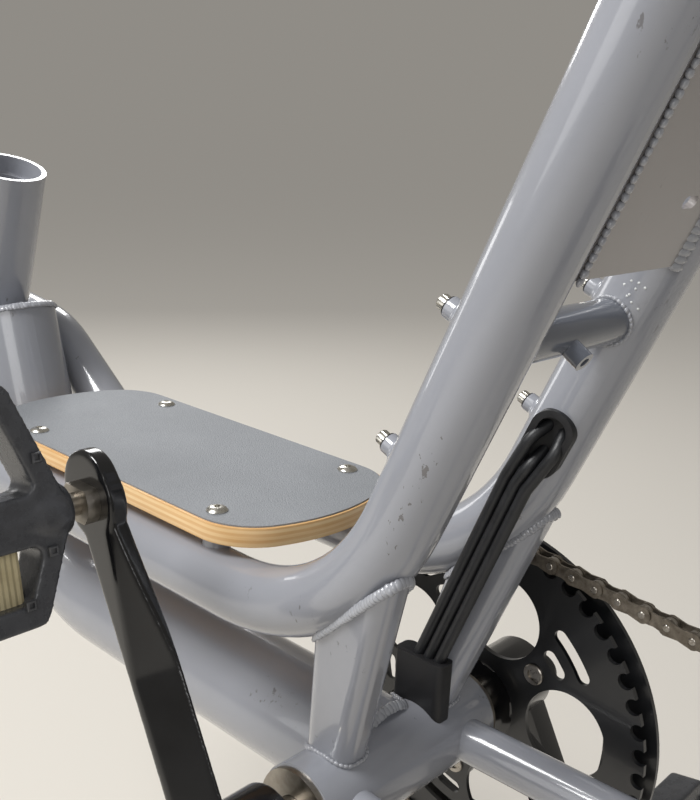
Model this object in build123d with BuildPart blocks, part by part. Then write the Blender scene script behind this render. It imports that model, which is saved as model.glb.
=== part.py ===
from build123d import *
import math
import os

# Electric bicycle frame unit: twin-tube step-through frame with a wooden foot
# deck, crankset, pedals, chain and rear hub motor. Lengths in millimetres.
# X points forward, Y to the rider's left, Z up. The origin is the middle of
# the head tube, where the frame hangs on its fork.

# Main tubes
tube_od = 31.8
tube_spacing = 98.0
rise_angle = 66.5
rise_length = 400.0
rise_bend_radius = 110.0
front_kick_angle = 35.0
front_kick_length = 101.0
front_bend_radius = 70.0
front_top_angle = 7.0
front_top_length = 52.0
run_height = 85.3
run_rear_x = -12.5
run_front_x = 290.0

# Head tube and crank axle, placed from each other
head_reach = 370.0
head_stack = 190.0
head_angle = 72.0
head_od = 50.0
head_length = 150.0
head_cup_bore = 44.0
head_cup_depth = 12.0
head_bore = 38.0
head_lug_od = 24.0
head_lug_spread = 17.0

# Lower tube under the deck
lower_od = 60.0
lower_drop = 4.0
lower_front_x = 297.0
lower_bend_radius = 90.0
lower_rise_angle = 72.0
lower_rise_length = 178.0

# Struts from the rear bends to the crank axle shell
strut_width = 20.0
strut_low_depth = 24.5
strut_high_depth = 42.8
strut_corner = 8.0
strut_lean = 18.1
strut_toe = 10.1
strut_rear_x = -21.0
strut_y = 46.5
strut_top_height = 60.0
strut_cut_x = 14.8
strut_cut_drop = 2.8
strut_cut_angle = 42.6

# Crank axle shell and crankset
shell_od = 44.0
shell_length = 120.0
shell_bore = 36.0
cup_flange_od = 42.0
cup_flange_thickness = 3.0
cup_depth = 14.0
spindle_od = 17.0
crank_length = 160.0
crank_angle = 61.3
crank_outer_y = 116.0
crank_eye_radius = 17.0
crank_hub_radius = 21.0
crank_thickness = 14.0
crank_hub_thickness = 40.0
crank_arm_width = 22.0
crank_ridge_along = 78.0
crank_ridge_width = 4.0
crank_bevel_drop = 12.6
crank_edge = 0.8
running_gap = 0.3

# Chain drive
chain_pitch = 12.7
ring_teeth = 48
sprocket_teeth = 24
chain_line_y = -75.0
chain_links = 106
roller_od = 7.75
roller_gap = 0.3
chain_inner_width = 3.3
chain_plate_thickness = 2.0
chain_plate_height = 8.4
chain_waist_height = 6.4
ring_thickness = 2.5
tooth_height = 2.3
roller_share = 0.7
ring_bore_radius = 24.0
ring_window_radius = 23.0
ring_window_circle = 55.3
ring_slots = (
    # radius of the middle line, width, sweep of the middle line in degrees
    (73.9, 7.2, 17.2),
    (60.8, 7.3, 8.0),
)
spider_arms = 5
spider_turn = 138.4
spider_reach = 46.0
spider_arm_width = 18.0
spider_thickness = 5.0
guard_outer_radius = 101.0
guard_inner_radius = 72.0
guard_thickness = 2.5
guard_clearance = 5.2
guard_stud_circle = 76.5
guard_stud_turn = -15.4
guard_stud_od = 8.0

# Rear end
axle_drop = 10.0
stay_od = 22.0
seatstay_od = 19.0
stay_shell_y = 40.0
stay_narrow_y = 47.0
stay_narrow_x = -118.0
stay_wide_x = -205.0
dropout_y = 94.0
dropout_thickness = 7.0
dropout_height = 46.0
dropout_length = 62.0
dropout_corner = 12.0
dropout_forward = 9.0
axle_od = 12.0
axle_length = 232.0
axle_nut_flats = 19.0
axle_nut_height = 11.0
seatstay_top_along = 350.0
stay_end_gap = 26.0
stay_bend_radius = 60.0
seatstay_straight = 125.0

# Hub motor
hub_radius = 93.0
hub_flange_thickness = 4.0
hub_flange_left_y = 36.0
hub_flange_right_y = -34.0
spoke_circles = (88.5, 86.5)
hub_body_radius = 82.0
hub_cover_left_y = 60.0
hub_cover_right_y = -56.0
hub_cover_radius = 58.0
spoke_holes = 18
spoke_hole_od = 3.2
hub_shoulder = 10.0
freewheel_radius = 27.0
freewheel_outer_y = -80.0

# Pedals
pedal_above = 56.0
pedal_below = 43.0
pedal_width = 94.0
pedal_thickness = 20.0
pedal_step = 3.5
pedal_taper_share = 0.4
pedal_flat = 8.0
pedal_corner = 6.0
pedal_gap = 12.0
pedal_bar = 10.0
pedal_window_corner = 4.0
pedal_barrel_radius = 10.5
pedal_axle_od = 10.0
pedal_flange_od = 20.0
pedal_flats = 15.0
pedal_flange_length = 6.0
pedal_axle_reach = 78.0
pedal_tilt = 79.0

# Foot deck
deck_thickness = 9.5
deck_top = 116.9
deck_half_width = 57.5
deck_rear_x = 36.5
deck_front_x = 298.0
deck_crown = 18.5
deck_corner = 34.0
deck_bolt_x = (76.6, 238.0)
deck_bolt_y = 45.5
deck_boss_od = 14.0
deck_bolt_od = 6.0
grip_inset = 1.2
grip_thickness = 0.8

# Pieces on the rear rise, measured along the tube from the bend's corner
cross_od = 19.05
cross_along = 153.8
cross_boss_od = 8.5
cross_boss_bore = 4.2
cross_boss_length = 7.0
cross_boss_y = 6.0
cross_boss_angle = -10.0
plate_start = 187.0
plate_length = 95.0
plate_thickness = 3.0
plate_set_back = 11.0
plate_slot_along = 215.0
plate_slot_y = -17.0
plate_slot_length = 11.0
plate_slot_width = 5.0
cage_boss_along = (94.2, 156.8)
cage_boss_od = 9.0
cage_boss_reach = 5.0
cage_boss_bore = 4.2
seat_sleeve_od = 38.0
seat_sleeve_bore = 31.8
seat_sleeve_start = 300.0
seat_sleeve_end = 420.0
seat_bridge_od = 22.0
seat_bridge_along = (325.0, 385.0)
seat_slit_width = 3.0
seat_slit_length = 30.0
clamp_od = 46.0
clamp_height = 16.0

# Cable port and cables on the right tube
port_along = 91.5
port_tilt = 10.0
port_length = 34.0
port_width = 20.0
port_wall = 2.0
port_lip = 3.2
port_height = 2.6
port_depth = 9.0
port_recess = 6.0
cable_od = 5.6
cable_gap = 0.5
cable_slant = 8.0
cable_exit_radius = 8.0
cable_run_radius = 15.0
bundle_lean = 20.0
bundle_x = -5.2
bundle_high = 62.0
bundle_low = -55.0
boot_x = 12.0
boot_y = -24.5
boot_height = 25.0
boot_length = 30.0
boot_width = 12.0
boot_corner = 4.0
cable_table = (
    # name, start above the port's middle, start forward, leave forward, run forward
    ("cable_motor", -4.0, 0.0, 1.0, 0.0),
    ("cable_brake", 8.0, 3.3, 6.6, 5.9),
    ("cable_sensor", 8.0, -3.3, -6.6, -5.9),
)


crank_x = -head_reach
crank_z = -head_stack
tube_y = tube_spacing / 2
tube_radius = tube_od / 2
deck_z = crank_z + deck_top
run_z = crank_z + run_height
corner = Vector(crank_x + run_rear_x, 0, run_z)
rise = math.radians(rise_angle)
rise_dir = Vector(-math.cos(rise), 0, math.sin(rise))
rise_front = Vector(math.sin(rise), 0, math.cos(rise))
crank_centre = Vector(crank_x, 0, crank_z)
left_right = ((1, "left"), (-1, "right"))


def write(part, label):
    part.label = label
    export_step(part, f"parts/{label}.step")


def along_rise(distance, y=0.0, front=0.0):
    return corner + rise_dir * distance + rise_front * front + Vector(0, y, 0)


# A plane across the bike through the crank axle's height, with its x forward, its y up
# and its normal to the right
def side_plane(y, centre=crank_centre):
    return Plane((centre.X, y, centre.Z), x_dir=(1, 0, 0), z_dir=(0, -1, 0))


# A disc or ring about a crosswise axis, from the given y over the given width to the left
def disc(radius, bore, y, width, centre=crank_centre):
    with BuildPart() as piece:
        with BuildSketch(side_plane(y, centre)):
            Circle(radius)
            if bore > 0:
                Circle(bore, mode=Mode.SUBTRACT)
        extrude(amount=-width)
    return piece.part


def largest(part):
    return part.solids().sort_by(SortBy.VOLUME)[-1]


def tube_centre_line(y):
    kick = math.radians(front_kick_angle)
    front_low = Vector(crank_x + run_front_x, y, run_z)
    front_high = front_low + Vector(math.cos(kick), 0, math.sin(kick)) * front_kick_length
    top = math.radians(front_top_angle)
    return (
        front_high + Vector(math.cos(top), 0, math.sin(top)) * front_top_length,
        front_high,
        front_low,
        corner + Vector(0, y, 0),
        along_rise(rise_length, y),
    )


# A plane across the rear rise, with its x to the left, its y to the front and its normal up the tube
def rise_plane(distance, y=0.0, front=0.0):
    return Plane(along_rise(distance, y, front), x_dir=(0, 1, 0), z_dir=rise_dir)


os.makedirs("parts", exist_ok=True)

# Main tubes: front end, short upward kick, level run under the deck, rear rise,
# with the threaded bosses for a cage and the seats for the deck bolts
main_tubes = {}
for side, name in left_right:
    points = tube_centre_line(side * tube_y)
    with BuildPart() as main_tube:
        with BuildLine() as path:
            FilletPolyline(*points, radius=[front_bend_radius, front_bend_radius, rise_bend_radius])
        with BuildSketch(Plane(points[0], z_dir=path.line % 0)):
            Circle(tube_radius)
        sweep()
        with Locations(points[0], points[-1]):
            Sphere(tube_radius)
        for distance in cage_boss_along:
            boss_plane = Plane(along_rise(distance, side * tube_y), z_dir=rise_front)
            with BuildSketch(boss_plane):
                Circle(cage_boss_od / 2)
            extrude(amount=tube_radius + cage_boss_reach)
            with BuildSketch(boss_plane):
                Circle(cage_boss_bore / 2)
            extrude(amount=tube_radius + cage_boss_reach, mode=Mode.SUBTRACT)
        for x in deck_bolt_x:
            with BuildSketch(Plane((crank_x + x, side * deck_bolt_y, run_z), z_dir=(0, 0, 1))):
                Circle(deck_boss_od / 2)
            extrude(amount=deck_z - deck_thickness - run_z)
            with BuildSketch(Plane((crank_x + x, side * deck_bolt_y, run_z), z_dir=(0, 0, 1))):
                Circle(deck_bolt_od / 2)
            extrude(amount=deck_z - deck_thickness - run_z, mode=Mode.SUBTRACT)
        if name == "right":
            port_turn = math.radians(port_tilt)
            port_out = Vector(0, math.cos(port_turn), 0) - rise_front * math.sin(port_turn)
            port_plane = Plane(along_rise(port_along, -tube_y), x_dir=rise_dir, z_dir=port_out)
            with BuildSketch(port_plane.offset(tube_radius - port_depth)):
                SlotOverall(port_length - 2 * port_wall, port_width - 2 * port_wall)
            extrude(amount=port_depth, mode=Mode.SUBTRACT)
    main_tubes[name] = main_tube.part
    write(main_tube.part, f"main_tube_{name}")


def cope_to_tubes():
    """Cuts the piece being built where the main tubes pass through it."""
    for tube in main_tubes.values():
        add(tube, mode=Mode.SUBTRACT)


# Head tube, bored for the steering cups
head = math.radians(head_angle)
head_axis = Vector(-math.cos(head), 0, math.sin(head))
head_plane = Plane((0, 0, 0), x_dir=(0, 1, 0), z_dir=head_axis)
with BuildPart() as head_blank:
    with BuildSketch(head_plane.offset(-head_length / 2)):
        Circle(head_od / 2)
    extrude(amount=head_length)
with BuildPart() as head_tube:
    add(head_blank.part)
    with BuildSketch(head_plane.offset(-head_length / 2)):
        Circle(head_bore / 2)
    extrude(amount=head_length, mode=Mode.SUBTRACT)
    for end in (-1, 1):
        with BuildSketch(head_plane.offset(end * head_length / 2)):
            Circle(head_cup_bore / 2)
        extrude(amount=-end * head_cup_depth, mode=Mode.SUBTRACT)
write(head_tube.part, "head_tube")

# Cross lugs from the head tube to the main tubes, two on each side
lug_z = tube_centre_line(0)[1].Z
lug_centre = Vector(-lug_z / math.tan(head), 0, lug_z)
head_lug_step = head_lug_spread * math.tan(math.radians(front_top_angle))
with BuildPart() as head_lugs:
    with BuildSketch(Plane.XZ):
        with Locations(
            (lug_centre.X - head_lug_spread, lug_centre.Z - head_lug_step),
            (lug_centre.X + head_lug_spread, lug_centre.Z + head_lug_step),
        ):
            Circle(head_lug_od / 2)
    extrude(amount=tube_y, both=True)
    add(head_blank.part, mode=Mode.SUBTRACT)
    cope_to_tubes()
lug_solids = head_lugs.part.solids().sort_by(SortBy.VOLUME)[-4:]
head_lugs = Compound(children=list(lug_solids))
write(head_lugs, "head_lugs")

# Crank axle shell and its bearing cups
with BuildPart() as shell_blank:
    with BuildSketch(side_plane(shell_length / 2)):
        Circle(shell_od / 2)
    extrude(amount=shell_length)
with BuildPart() as axle_shell:
    add(shell_blank.part)
    with BuildSketch(side_plane(shell_length / 2)):
        Circle(shell_bore / 2)
    extrude(amount=shell_length, mode=Mode.SUBTRACT)
write(axle_shell.part, "crank_axle_shell")

for side, name in left_right:
    with BuildPart() as cup:
        add(disc(shell_bore / 2, spindle_od / 2 + running_gap, side * shell_length / 2, -side * cup_depth))
        add(disc(cup_flange_od / 2, spindle_od / 2 + running_gap, side * shell_length / 2,
                 side * cup_flange_thickness))
    write(cup.part, f"bearing_cup_{name}")

# Lower tube: level from the shell, then bent up to the head tube
lower_rise = math.radians(lower_rise_angle)
lower_corner = Vector(crank_x + lower_front_x, 0, crank_z - lower_drop)
lower_points = (
    Vector(crank_x, 0, crank_z - lower_drop),
    lower_corner,
    lower_corner + Vector(math.cos(lower_rise), 0, math.sin(lower_rise)) * lower_rise_length,
)
with BuildPart() as lower_tube:
    with BuildLine() as lower_path:
        FilletPolyline(*lower_points, radius=lower_bend_radius)
    with BuildSketch(Plane(lower_points[0], z_dir=lower_path.line % 0)):
        Circle(lower_od / 2)
    sweep()
    add(shell_blank.part, mode=Mode.SUBTRACT)
    add(head_blank.part, mode=Mode.SUBTRACT)
    add(lug_solids, mode=Mode.SUBTRACT)
    cope_to_tubes()
lower_tube = largest(lower_tube.part)
write(lower_tube, "lower_tube")

# Struts: tapered box tubes that lean back and spread on their way up from the shell to the
# rear bends, cut along a slant where they meet the bends
lean_slope = math.tan(math.radians(strut_lean))
toe_slope = math.tan(math.radians(strut_toe))
strut_cut = math.radians(strut_cut_angle)
cut_point = corner + Vector(strut_cut_x, 0, -strut_cut_drop)
cut_plane = Plane(cut_point, x_dir=(0, 1, 0), z_dir=(math.sin(strut_cut), 0, math.cos(strut_cut)))


# Level section of a strut at a height over the bend's corner
def strut_section(side, height, depth):
    middle_x = corner.X + strut_rear_x - lean_slope * height + depth / 2
    middle_y = side * (strut_y + toe_slope * height)
    with BuildSketch(Plane((middle_x, middle_y, corner.Z + height))) as section:
        RectangleRounded(depth, strut_width, strut_corner)
    return section.sketch


struts = {}
for side, name in left_right:
    with BuildPart() as strut:
        add(strut_section(side, -run_height, strut_low_depth))
        add(strut_section(side, strut_top_height, strut_high_depth))
        loft()
        split(bisect_by=cut_plane, keep=Keep.BOTTOM)
        cope_to_tubes()
        add(shell_blank.part, mode=Mode.SUBTRACT)
        add(lower_tube, mode=Mode.SUBTRACT)
    struts[name] = largest(strut.part)
    write(struts[name], f"strut_{name}")

# Cross tube between the rises, with a threaded boss for a guard
boss_turn = math.radians(cross_boss_angle)
boss_dir = rise_dir * math.sin(boss_turn) - rise_front * math.cos(boss_turn)
boss_plane = Plane(along_rise(cross_along, cross_boss_y), z_dir=boss_dir)
with BuildPart() as cross_tube:
    with BuildSketch(Plane(along_rise(cross_along, tube_y), z_dir=(0, -1, 0))):
        Circle(cross_od / 2)
    extrude(amount=tube_spacing)
    with BuildSketch(boss_plane):
        Circle(cross_boss_od / 2)
    extrude(amount=cross_od / 2 + cross_boss_length)
    with BuildSketch(boss_plane):
        Circle(cross_boss_bore / 2)
    extrude(amount=cross_od / 2 + cross_boss_length, mode=Mode.SUBTRACT)
    cope_to_tubes()
write(largest(cross_tube.part), "cross_tube")

# Gusset plate between the rises, with a slotted hole for a mudguard strap
plate_middle = plate_start + plate_length / 2
plate_plane = Plane(along_rise(plate_middle, 0, -plate_set_back), x_dir=(0, 1, 0), z_dir=rise_front)
with BuildPart() as gusset:
    with BuildSketch(plate_plane):
        Rectangle(tube_spacing, plate_length)
    extrude(amount=plate_thickness / 2, both=True)
    cope_to_tubes()
    with BuildSketch(plate_plane):
        with Locations((plate_slot_y, plate_slot_along - plate_middle)):
            SlotOverall(plate_slot_length, plate_slot_width)
    extrude(amount=plate_thickness, both=True, mode=Mode.SUBTRACT)
write(largest(gusset.part), "gusset_plate")

# Seat sleeve carried by two bridges between the rises, slit and clamped at the top
sleeve_length = seat_sleeve_end - seat_sleeve_start
with BuildPart() as seat_sleeve:
    with BuildSketch(rise_plane(seat_sleeve_start)):
        Circle(seat_sleeve_od / 2)
    extrude(amount=sleeve_length)
    for distance in seat_bridge_along:
        with BuildSketch(Plane(along_rise(distance, tube_y), z_dir=(0, -1, 0))):
            Circle(seat_bridge_od / 2)
        extrude(amount=tube_spacing)
    cope_to_tubes()
    with BuildSketch(rise_plane(seat_sleeve_start)):
        Circle(seat_sleeve_bore / 2)
    extrude(amount=sleeve_length, mode=Mode.SUBTRACT)
    with BuildSketch(rise_plane(seat_sleeve_end)):
        with Locations((0, -seat_sleeve_od / 2)):
            Rectangle(seat_slit_width, seat_sleeve_od)
    extrude(amount=-seat_slit_length, mode=Mode.SUBTRACT)
write(largest(seat_sleeve.part), "seat_sleeve")

with BuildPart() as seat_clamp:
    with BuildSketch(rise_plane(seat_sleeve_end)):
        Circle(clamp_od / 2)
        Circle(seat_sleeve_od / 2, mode=Mode.SUBTRACT)
        with Locations((0, -clamp_od / 2)):
            Rectangle(seat_slit_width, clamp_od / 2, mode=Mode.SUBTRACT)
    extrude(amount=-clamp_height)
write(seat_clamp.part, "seat_clamp")

# Foot deck board and the grip sheet on it, both with crowned ends
def deck_outline(inset):
    rear = crank_x + deck_rear_x + inset
    front = crank_x + deck_front_x - inset
    half = deck_half_width - inset
    with BuildSketch(Plane.XY) as outline:
        with BuildLine():
            ThreePointArc((rear + deck_crown, -half), (rear, 0), (rear + deck_crown, half))
            Line((rear + deck_crown, half), (front - deck_crown, half))
            ThreePointArc((front - deck_crown, half), (front, 0), (front - deck_crown, -half))
            Line((front - deck_crown, -half), (rear + deck_crown, -half))
        make_face()
        fillet(outline.vertices(), radius=deck_corner - inset)
        for x in deck_bolt_x:
            with Locations((crank_x + x, deck_bolt_y), (crank_x + x, -deck_bolt_y)):
                Circle(deck_bolt_od / 2, mode=Mode.SUBTRACT)
    return outline.sketch


board_outline = deck_outline(0.0)
sheet_outline = deck_outline(grip_inset)
with BuildPart() as deck_board:
    with BuildSketch(Plane.XY.offset(deck_z - deck_thickness)):
        add(board_outline)
    extrude(amount=deck_thickness)
write(deck_board.part, "deck_board")
with BuildPart() as grip_sheet:
    with BuildSketch(Plane.XY.offset(deck_z)):
        add(sheet_outline)
    extrude(amount=grip_thickness)
write(grip_sheet.part, "grip_sheet")

# Three cables from the port in the right rise, side by side down to the boot on the shell
bundle = math.radians(bundle_lean)
bundle_front = Vector(math.cos(bundle), 0, math.sin(bundle))
bundle_high_y = -tube_y + tube_radius + cable_od / 2 + cable_gap
leave_height = tube_radius + cable_od / 2 + 2 * cable_gap
bundle_low_y = -strut_y - toe_slope * bundle_low + strut_width / 2 + cable_od / 2 + cable_gap


# A point of one cable's straight run at a height over the bend's corner
def bundle_point(height, y, forward):
    middle = corner + Vector(bundle_x - math.tan(bundle) * height, y, height)
    return middle + bundle_front * forward


cables = {}
for label, start_up, start_front, leave_front, run_front in cable_table:
    points = (
        port_plane.from_local_coords((start_up, start_front, tube_radius - port_depth + cable_od / 2)),
        port_plane.from_local_coords((start_up - cable_slant, leave_front, leave_height)),
        bundle_point(bundle_high, bundle_high_y, run_front),
        bundle_point(bundle_low, bundle_low_y, run_front),
    )
    with BuildPart() as cable:
        with BuildLine() as cable_path:
            FilletPolyline(*points, radius=[cable_exit_radius, cable_run_radius])
        with BuildSketch(Plane(points[0], z_dir=cable_path.line % 0)):
            Circle(cable_od / 2)
        sweep()
    cables[label] = cable.part
    print(label, "length", round(sum(edge.length for edge in cable_path.edges()), 1))
    write(cable.part, label)

with BuildPart() as cable_port:
    with BuildSketch(port_plane.offset(tube_radius - port_depth)):
        SlotOverall(port_length - 2 * port_wall, port_width - 2 * port_wall)
    extrude(amount=port_depth + port_height)
    with BuildSketch(port_plane):
        SlotOverall(port_length, port_width)
    extrude(amount=tube_radius + port_height)
    cope_to_tubes()
    with BuildSketch(port_plane.offset(tube_radius + port_height)):
        SlotOverall(port_length - 2 * port_lip, port_width - 2 * port_lip)
    extrude(amount=-port_recess, mode=Mode.SUBTRACT)
    for cable in cables.values():
        add(cable, mode=Mode.SUBTRACT)
write(largest(cable_port.part), "cable_port")

boot_plane = Plane((corner.X + boot_x, boot_y, crank_z), x_dir=(1, 0, 0), z_dir=(0, 0, 1))
with BuildPart() as cable_boot:
    with BuildSketch(boot_plane):
        RectangleRounded(boot_length, boot_width, boot_corner)
    extrude(amount=shell_od / 2 + boot_height)
    add(shell_blank.part, mode=Mode.SUBTRACT)
    add(lower_tube, mode=Mode.SUBTRACT)
    add(struts["right"], mode=Mode.SUBTRACT)
    for cable in cables.values():
        add(cable, mode=Mode.SUBTRACT)
write(cable_boot.part.solids().sort_by(Axis.Z)[-1], "cable_boot")

# Chain path: ring and sprocket circles joined by two straight runs. Stations are
# counted along the path from the top of the ring, over the sprocket and back.
ring_radius = ring_teeth * chain_pitch / (2 * math.pi)
sprocket_radius = sprocket_teeth * chain_pitch / (2 * math.pi)
chain_length = chain_links * chain_pitch


def path_length(distance):
    lean = math.asin((ring_radius - sprocket_radius) / distance)
    arcs = ring_radius * (math.pi + 2 * lean) + sprocket_radius * (math.pi - 2 * lean)
    return 2 * distance * math.cos(lean) + arcs


shortest = ring_radius + sprocket_radius
longest = chain_length / 2
for step in range(60):
    centre_distance = (shortest + longest) / 2
    if path_length(centre_distance) < chain_length:
        shortest = centre_distance
    else:
        longest = centre_distance
axle_x = crank_x - math.sqrt(centre_distance**2 - axle_drop**2)
axle_centre = Vector(axle_x, 0, crank_z - axle_drop)
print("centre distance", round(centre_distance, 2), "axle", axle_centre)

lean = math.asin((ring_radius - sprocket_radius) / centre_distance)
drive_angle = math.atan2(-axle_drop, axle_x - crank_x) % (2 * math.pi)
top_angle = drive_angle - (math.pi / 2 - lean)
low_angle = drive_angle + (math.pi / 2 - lean)
straight = centre_distance * math.cos(lean)
sprocket_arc = sprocket_radius * (math.pi - 2 * lean)


# The point of the chain path at a station, moved outward, in the side plane of the crank axle
def chain_point(station, outward):
    axle_u = axle_x - crank_x
    axle_v = -axle_drop
    if station < straight:
        share = station / straight
        angle = top_angle
        radius = ring_radius + (sprocket_radius - ring_radius) * share + outward
        return (axle_u * share + radius * math.cos(angle), axle_v * share + radius * math.sin(angle))
    if station < straight + sprocket_arc:
        angle = top_angle + (station - straight) / sprocket_radius
        radius = sprocket_radius + outward
        return (axle_u + radius * math.cos(angle), axle_v + radius * math.sin(angle))
    if station < 2 * straight + sprocket_arc:
        share = 1 - (station - straight - sprocket_arc) / straight
        angle = low_angle
        radius = ring_radius + (sprocket_radius - ring_radius) * share + outward
        return (axle_u * share + radius * math.cos(angle), axle_v * share + radius * math.sin(angle))
    angle = low_angle + (station - 2 * straight - sprocket_arc) / ring_radius
    radius = ring_radius + outward
    return (radius * math.cos(angle), radius * math.sin(angle))


# Toothed outline: a disc with a round valley for every roller seated on it
def toothed_disc(teeth, radius, first_angle, bore, centre):
    valley = roller_od / 2 + roller_gap
    with BuildPart() as toothed:
        with BuildSketch(side_plane(chain_line_y + ring_thickness / 2, centre)):
            Circle(radius + tooth_height)
            Circle(bore, mode=Mode.SUBTRACT)
            with PolarLocations(radius, teeth, start_angle=math.degrees(first_angle)):
                Circle(valley, mode=Mode.SUBTRACT)
        extrude(amount=ring_thickness)
    return toothed.part


# Chainring with a round window between every two arms and arc slots in each arm, its
# valleys set to the rollers
with BuildPart() as chainring:
    add(toothed_disc(ring_teeth, ring_radius, top_angle, ring_bore_radius, crank_centre))
    with BuildSketch(side_plane(chain_line_y + ring_thickness / 2)):
        with PolarLocations(ring_window_circle, spider_arms, start_angle=spider_turn - 180 / spider_arms):
            Circle(ring_window_radius)
        for arm in range(spider_arms):
            middle = spider_turn + arm * 360 / spider_arms
            for radius, width, sweep_angle in ring_slots:
                with BuildLine() as slot_arc:
                    CenterArc((0, 0), radius, middle - sweep_angle / 2, sweep_angle)
                SlotArc(slot_arc.line.edges()[0], width, mode=Mode.ADD)
    extrude(amount=ring_thickness, mode=Mode.SUBTRACT)
write(chainring.part, "chainring")

# Rear sprocket with its freewheel body
first_seat = math.ceil(straight / chain_pitch) * chain_pitch
sprocket_angle = top_angle + (first_seat - straight) / sprocket_radius
hub_bore = axle_od / 2 + running_gap
with BuildPart() as rear_sprocket:
    add(toothed_disc(sprocket_teeth, sprocket_radius, sprocket_angle, hub_bore, axle_centre))
    add(disc(freewheel_radius, hub_bore, freewheel_outer_y, hub_cover_right_y - freewheel_outer_y, axle_centre))
write(rear_sprocket.part, "rear_sprocket")

# Chain: two waisted side ribbons joined by a square roller at every pin
half_links = 2 * chain_links
heights = (chain_plate_height / 2, chain_waist_height / 2)
outer_points = [chain_point(i * chain_pitch / 2, heights[i % 2]) for i in range(half_links)]
inner_points = [chain_point(i * chain_pitch / 2, -heights[i % 2]) for i in range(half_links)]
roller_half = roller_share * roller_od / 2
roller_points = []
for link in range(chain_links):
    station = link * chain_pitch
    before = (station - roller_half) % chain_length
    after = (station + roller_half) % chain_length
    roller_points.append(
        (
            chain_point(before, roller_half),
            chain_point(after, roller_half),
            chain_point(after, -roller_half),
            chain_point(before, -roller_half),
        )
    )
with BuildPart() as chain:
    for sign in (-1, 1):
        plate_y = chain_line_y + sign * (chain_inner_width + chain_plate_thickness) / 2
        with BuildSketch(side_plane(plate_y + chain_plate_thickness / 2)):
            with BuildLine():
                Polyline(*outer_points, close=True)
            make_face()
            with BuildLine():
                Polyline(*inner_points, close=True)
            make_face(mode=Mode.SUBTRACT)
        extrude(amount=chain_plate_thickness)
    with BuildSketch(side_plane(chain_line_y + chain_inner_width / 2)):
        for points in roller_points:
            with BuildLine():
                Polyline(*points, close=True)
            make_face()
    extrude(amount=chain_inner_width)
print("chain solids", len(chain.part.solids()))
write(chain.part, "chain")

# Crank spindle and the two crank arms, the right one carrying the spider
spindle_half = crank_outer_y - running_gap
write(disc(spindle_od / 2, 0, -spindle_half, 2 * spindle_half), "spindle")

crank_turn = math.radians(crank_angle)
crank_dir = Vector(math.cos(crank_turn), 0, math.sin(crank_turn))
trailing_dir = Vector(-math.sin(crank_turn), 0, math.cos(crank_turn))


# A section across the arm of one side: the outer face is kept from the leading edge to the
# ridge, behind it the bevel falls inward
def arm_section(side, reach, ridge, bevel):
    half = crank_arm_width / 2
    centre = crank_centre + crank_dir * side * reach + Vector(0, side * crank_outer_y, 0)
    with BuildSketch(Plane(centre, x_dir=trailing_dir * side, z_dir=crank_dir * side)) as section:
        with BuildLine():
            Polyline(
                (-half, side * crank_thickness),
                (-half, 0),
                (ridge - half, 0),
                (half, side * bevel),
                (half, side * crank_thickness),
                close=True,
            )
        make_face()
    return section.sketch


chain_outer_y = chain_line_y - chain_inner_width / 2 - chain_plate_thickness
guard_y = chain_outer_y - guard_clearance
spider_y = chain_line_y - ring_thickness / 2
ridge_reach = crank_length - crank_ridge_along
arm_stations = (
    # distance from the crank axle, ridge from the leading edge, fall of the bevel
    (crank_length, crank_arm_width - crank_edge, crank_edge),
    (ridge_reach, crank_ridge_width, crank_bevel_drop),
    (0.0, crank_ridge_width, crank_bevel_drop),
)
for side, name in left_right:
    eye = crank_centre + crank_dir * side * crank_length
    outer_y = side * crank_outer_y
    hub_depth = crank_hub_thickness
    if name == "right":
        hub_depth = crank_outer_y + spider_y
    with BuildPart() as crank:
        for outer, inner in zip(arm_stations, arm_stations[1:]):
            add(arm_section(side, *outer))
            add(arm_section(side, *inner))
            loft(ruled=True)
        add(disc(crank_eye_radius, 0, outer_y, -side * crank_thickness, eye))
        add(disc(crank_hub_radius, 0, outer_y, -side * hub_depth))
        if name == "right":
            with BuildSketch(side_plane(spider_y)):
                for arm in range(spider_arms):
                    with Locations(Location((0, 0, 0), (0, 0, spider_turn + arm * 360 / spider_arms))):
                        with Locations((spider_reach / 2, 0)):
                            Rectangle(spider_reach, spider_arm_width)
                        with Locations((spider_reach, 0)):
                            Circle(spider_arm_width / 2)
            extrude(amount=spider_thickness)
        add(disc(spindle_od / 2, 0, outer_y, -side * hub_depth), mode=Mode.SUBTRACT)
        add(disc(pedal_axle_od / 2, 0, outer_y, -side * crank_thickness, eye), mode=Mode.SUBTRACT)
    write(crank.part, f"crank_{name}")

# Chain guard: a flat ring outside the chain, on studs from the chainring
with BuildPart() as chain_guard:
    with BuildSketch(side_plane(guard_y)):
        Circle(guard_outer_radius)
        Circle(guard_inner_radius, mode=Mode.SUBTRACT)
    extrude(amount=guard_thickness)
    with BuildSketch(side_plane(spider_y)):
        with PolarLocations(guard_stud_circle, spider_arms, start_angle=spider_turn + guard_stud_turn):
            Circle(guard_stud_od / 2)
    extrude(amount=spider_y - guard_y)
write(chain_guard.part, "chain_guard")

# Pedals: a cage with two windows and a bored barrel, turning on the axle in the crank's eye
pedal_turn = math.radians(pedal_tilt)


# How far the crank-side edge of the cage stands off the barrel's end at a height
def cage_edge(height):
    return pedal_step + pedal_taper_share * max(0.0, abs(height) - pedal_flat)


# Corners of the cage between two heights, pulled in by a margin at both sides
def cage_points(side, low, high, margin):
    outer = pedal_width - margin
    levels = sorted({low, high} | {level for level in (-pedal_flat, pedal_flat) if low < level < high})
    points = [(cage_edge(level) + margin, level) for level in levels] + [(outer, high), (outer, low)]
    return [(side * (out - pedal_width / 2), level) for out, level in points]


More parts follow.
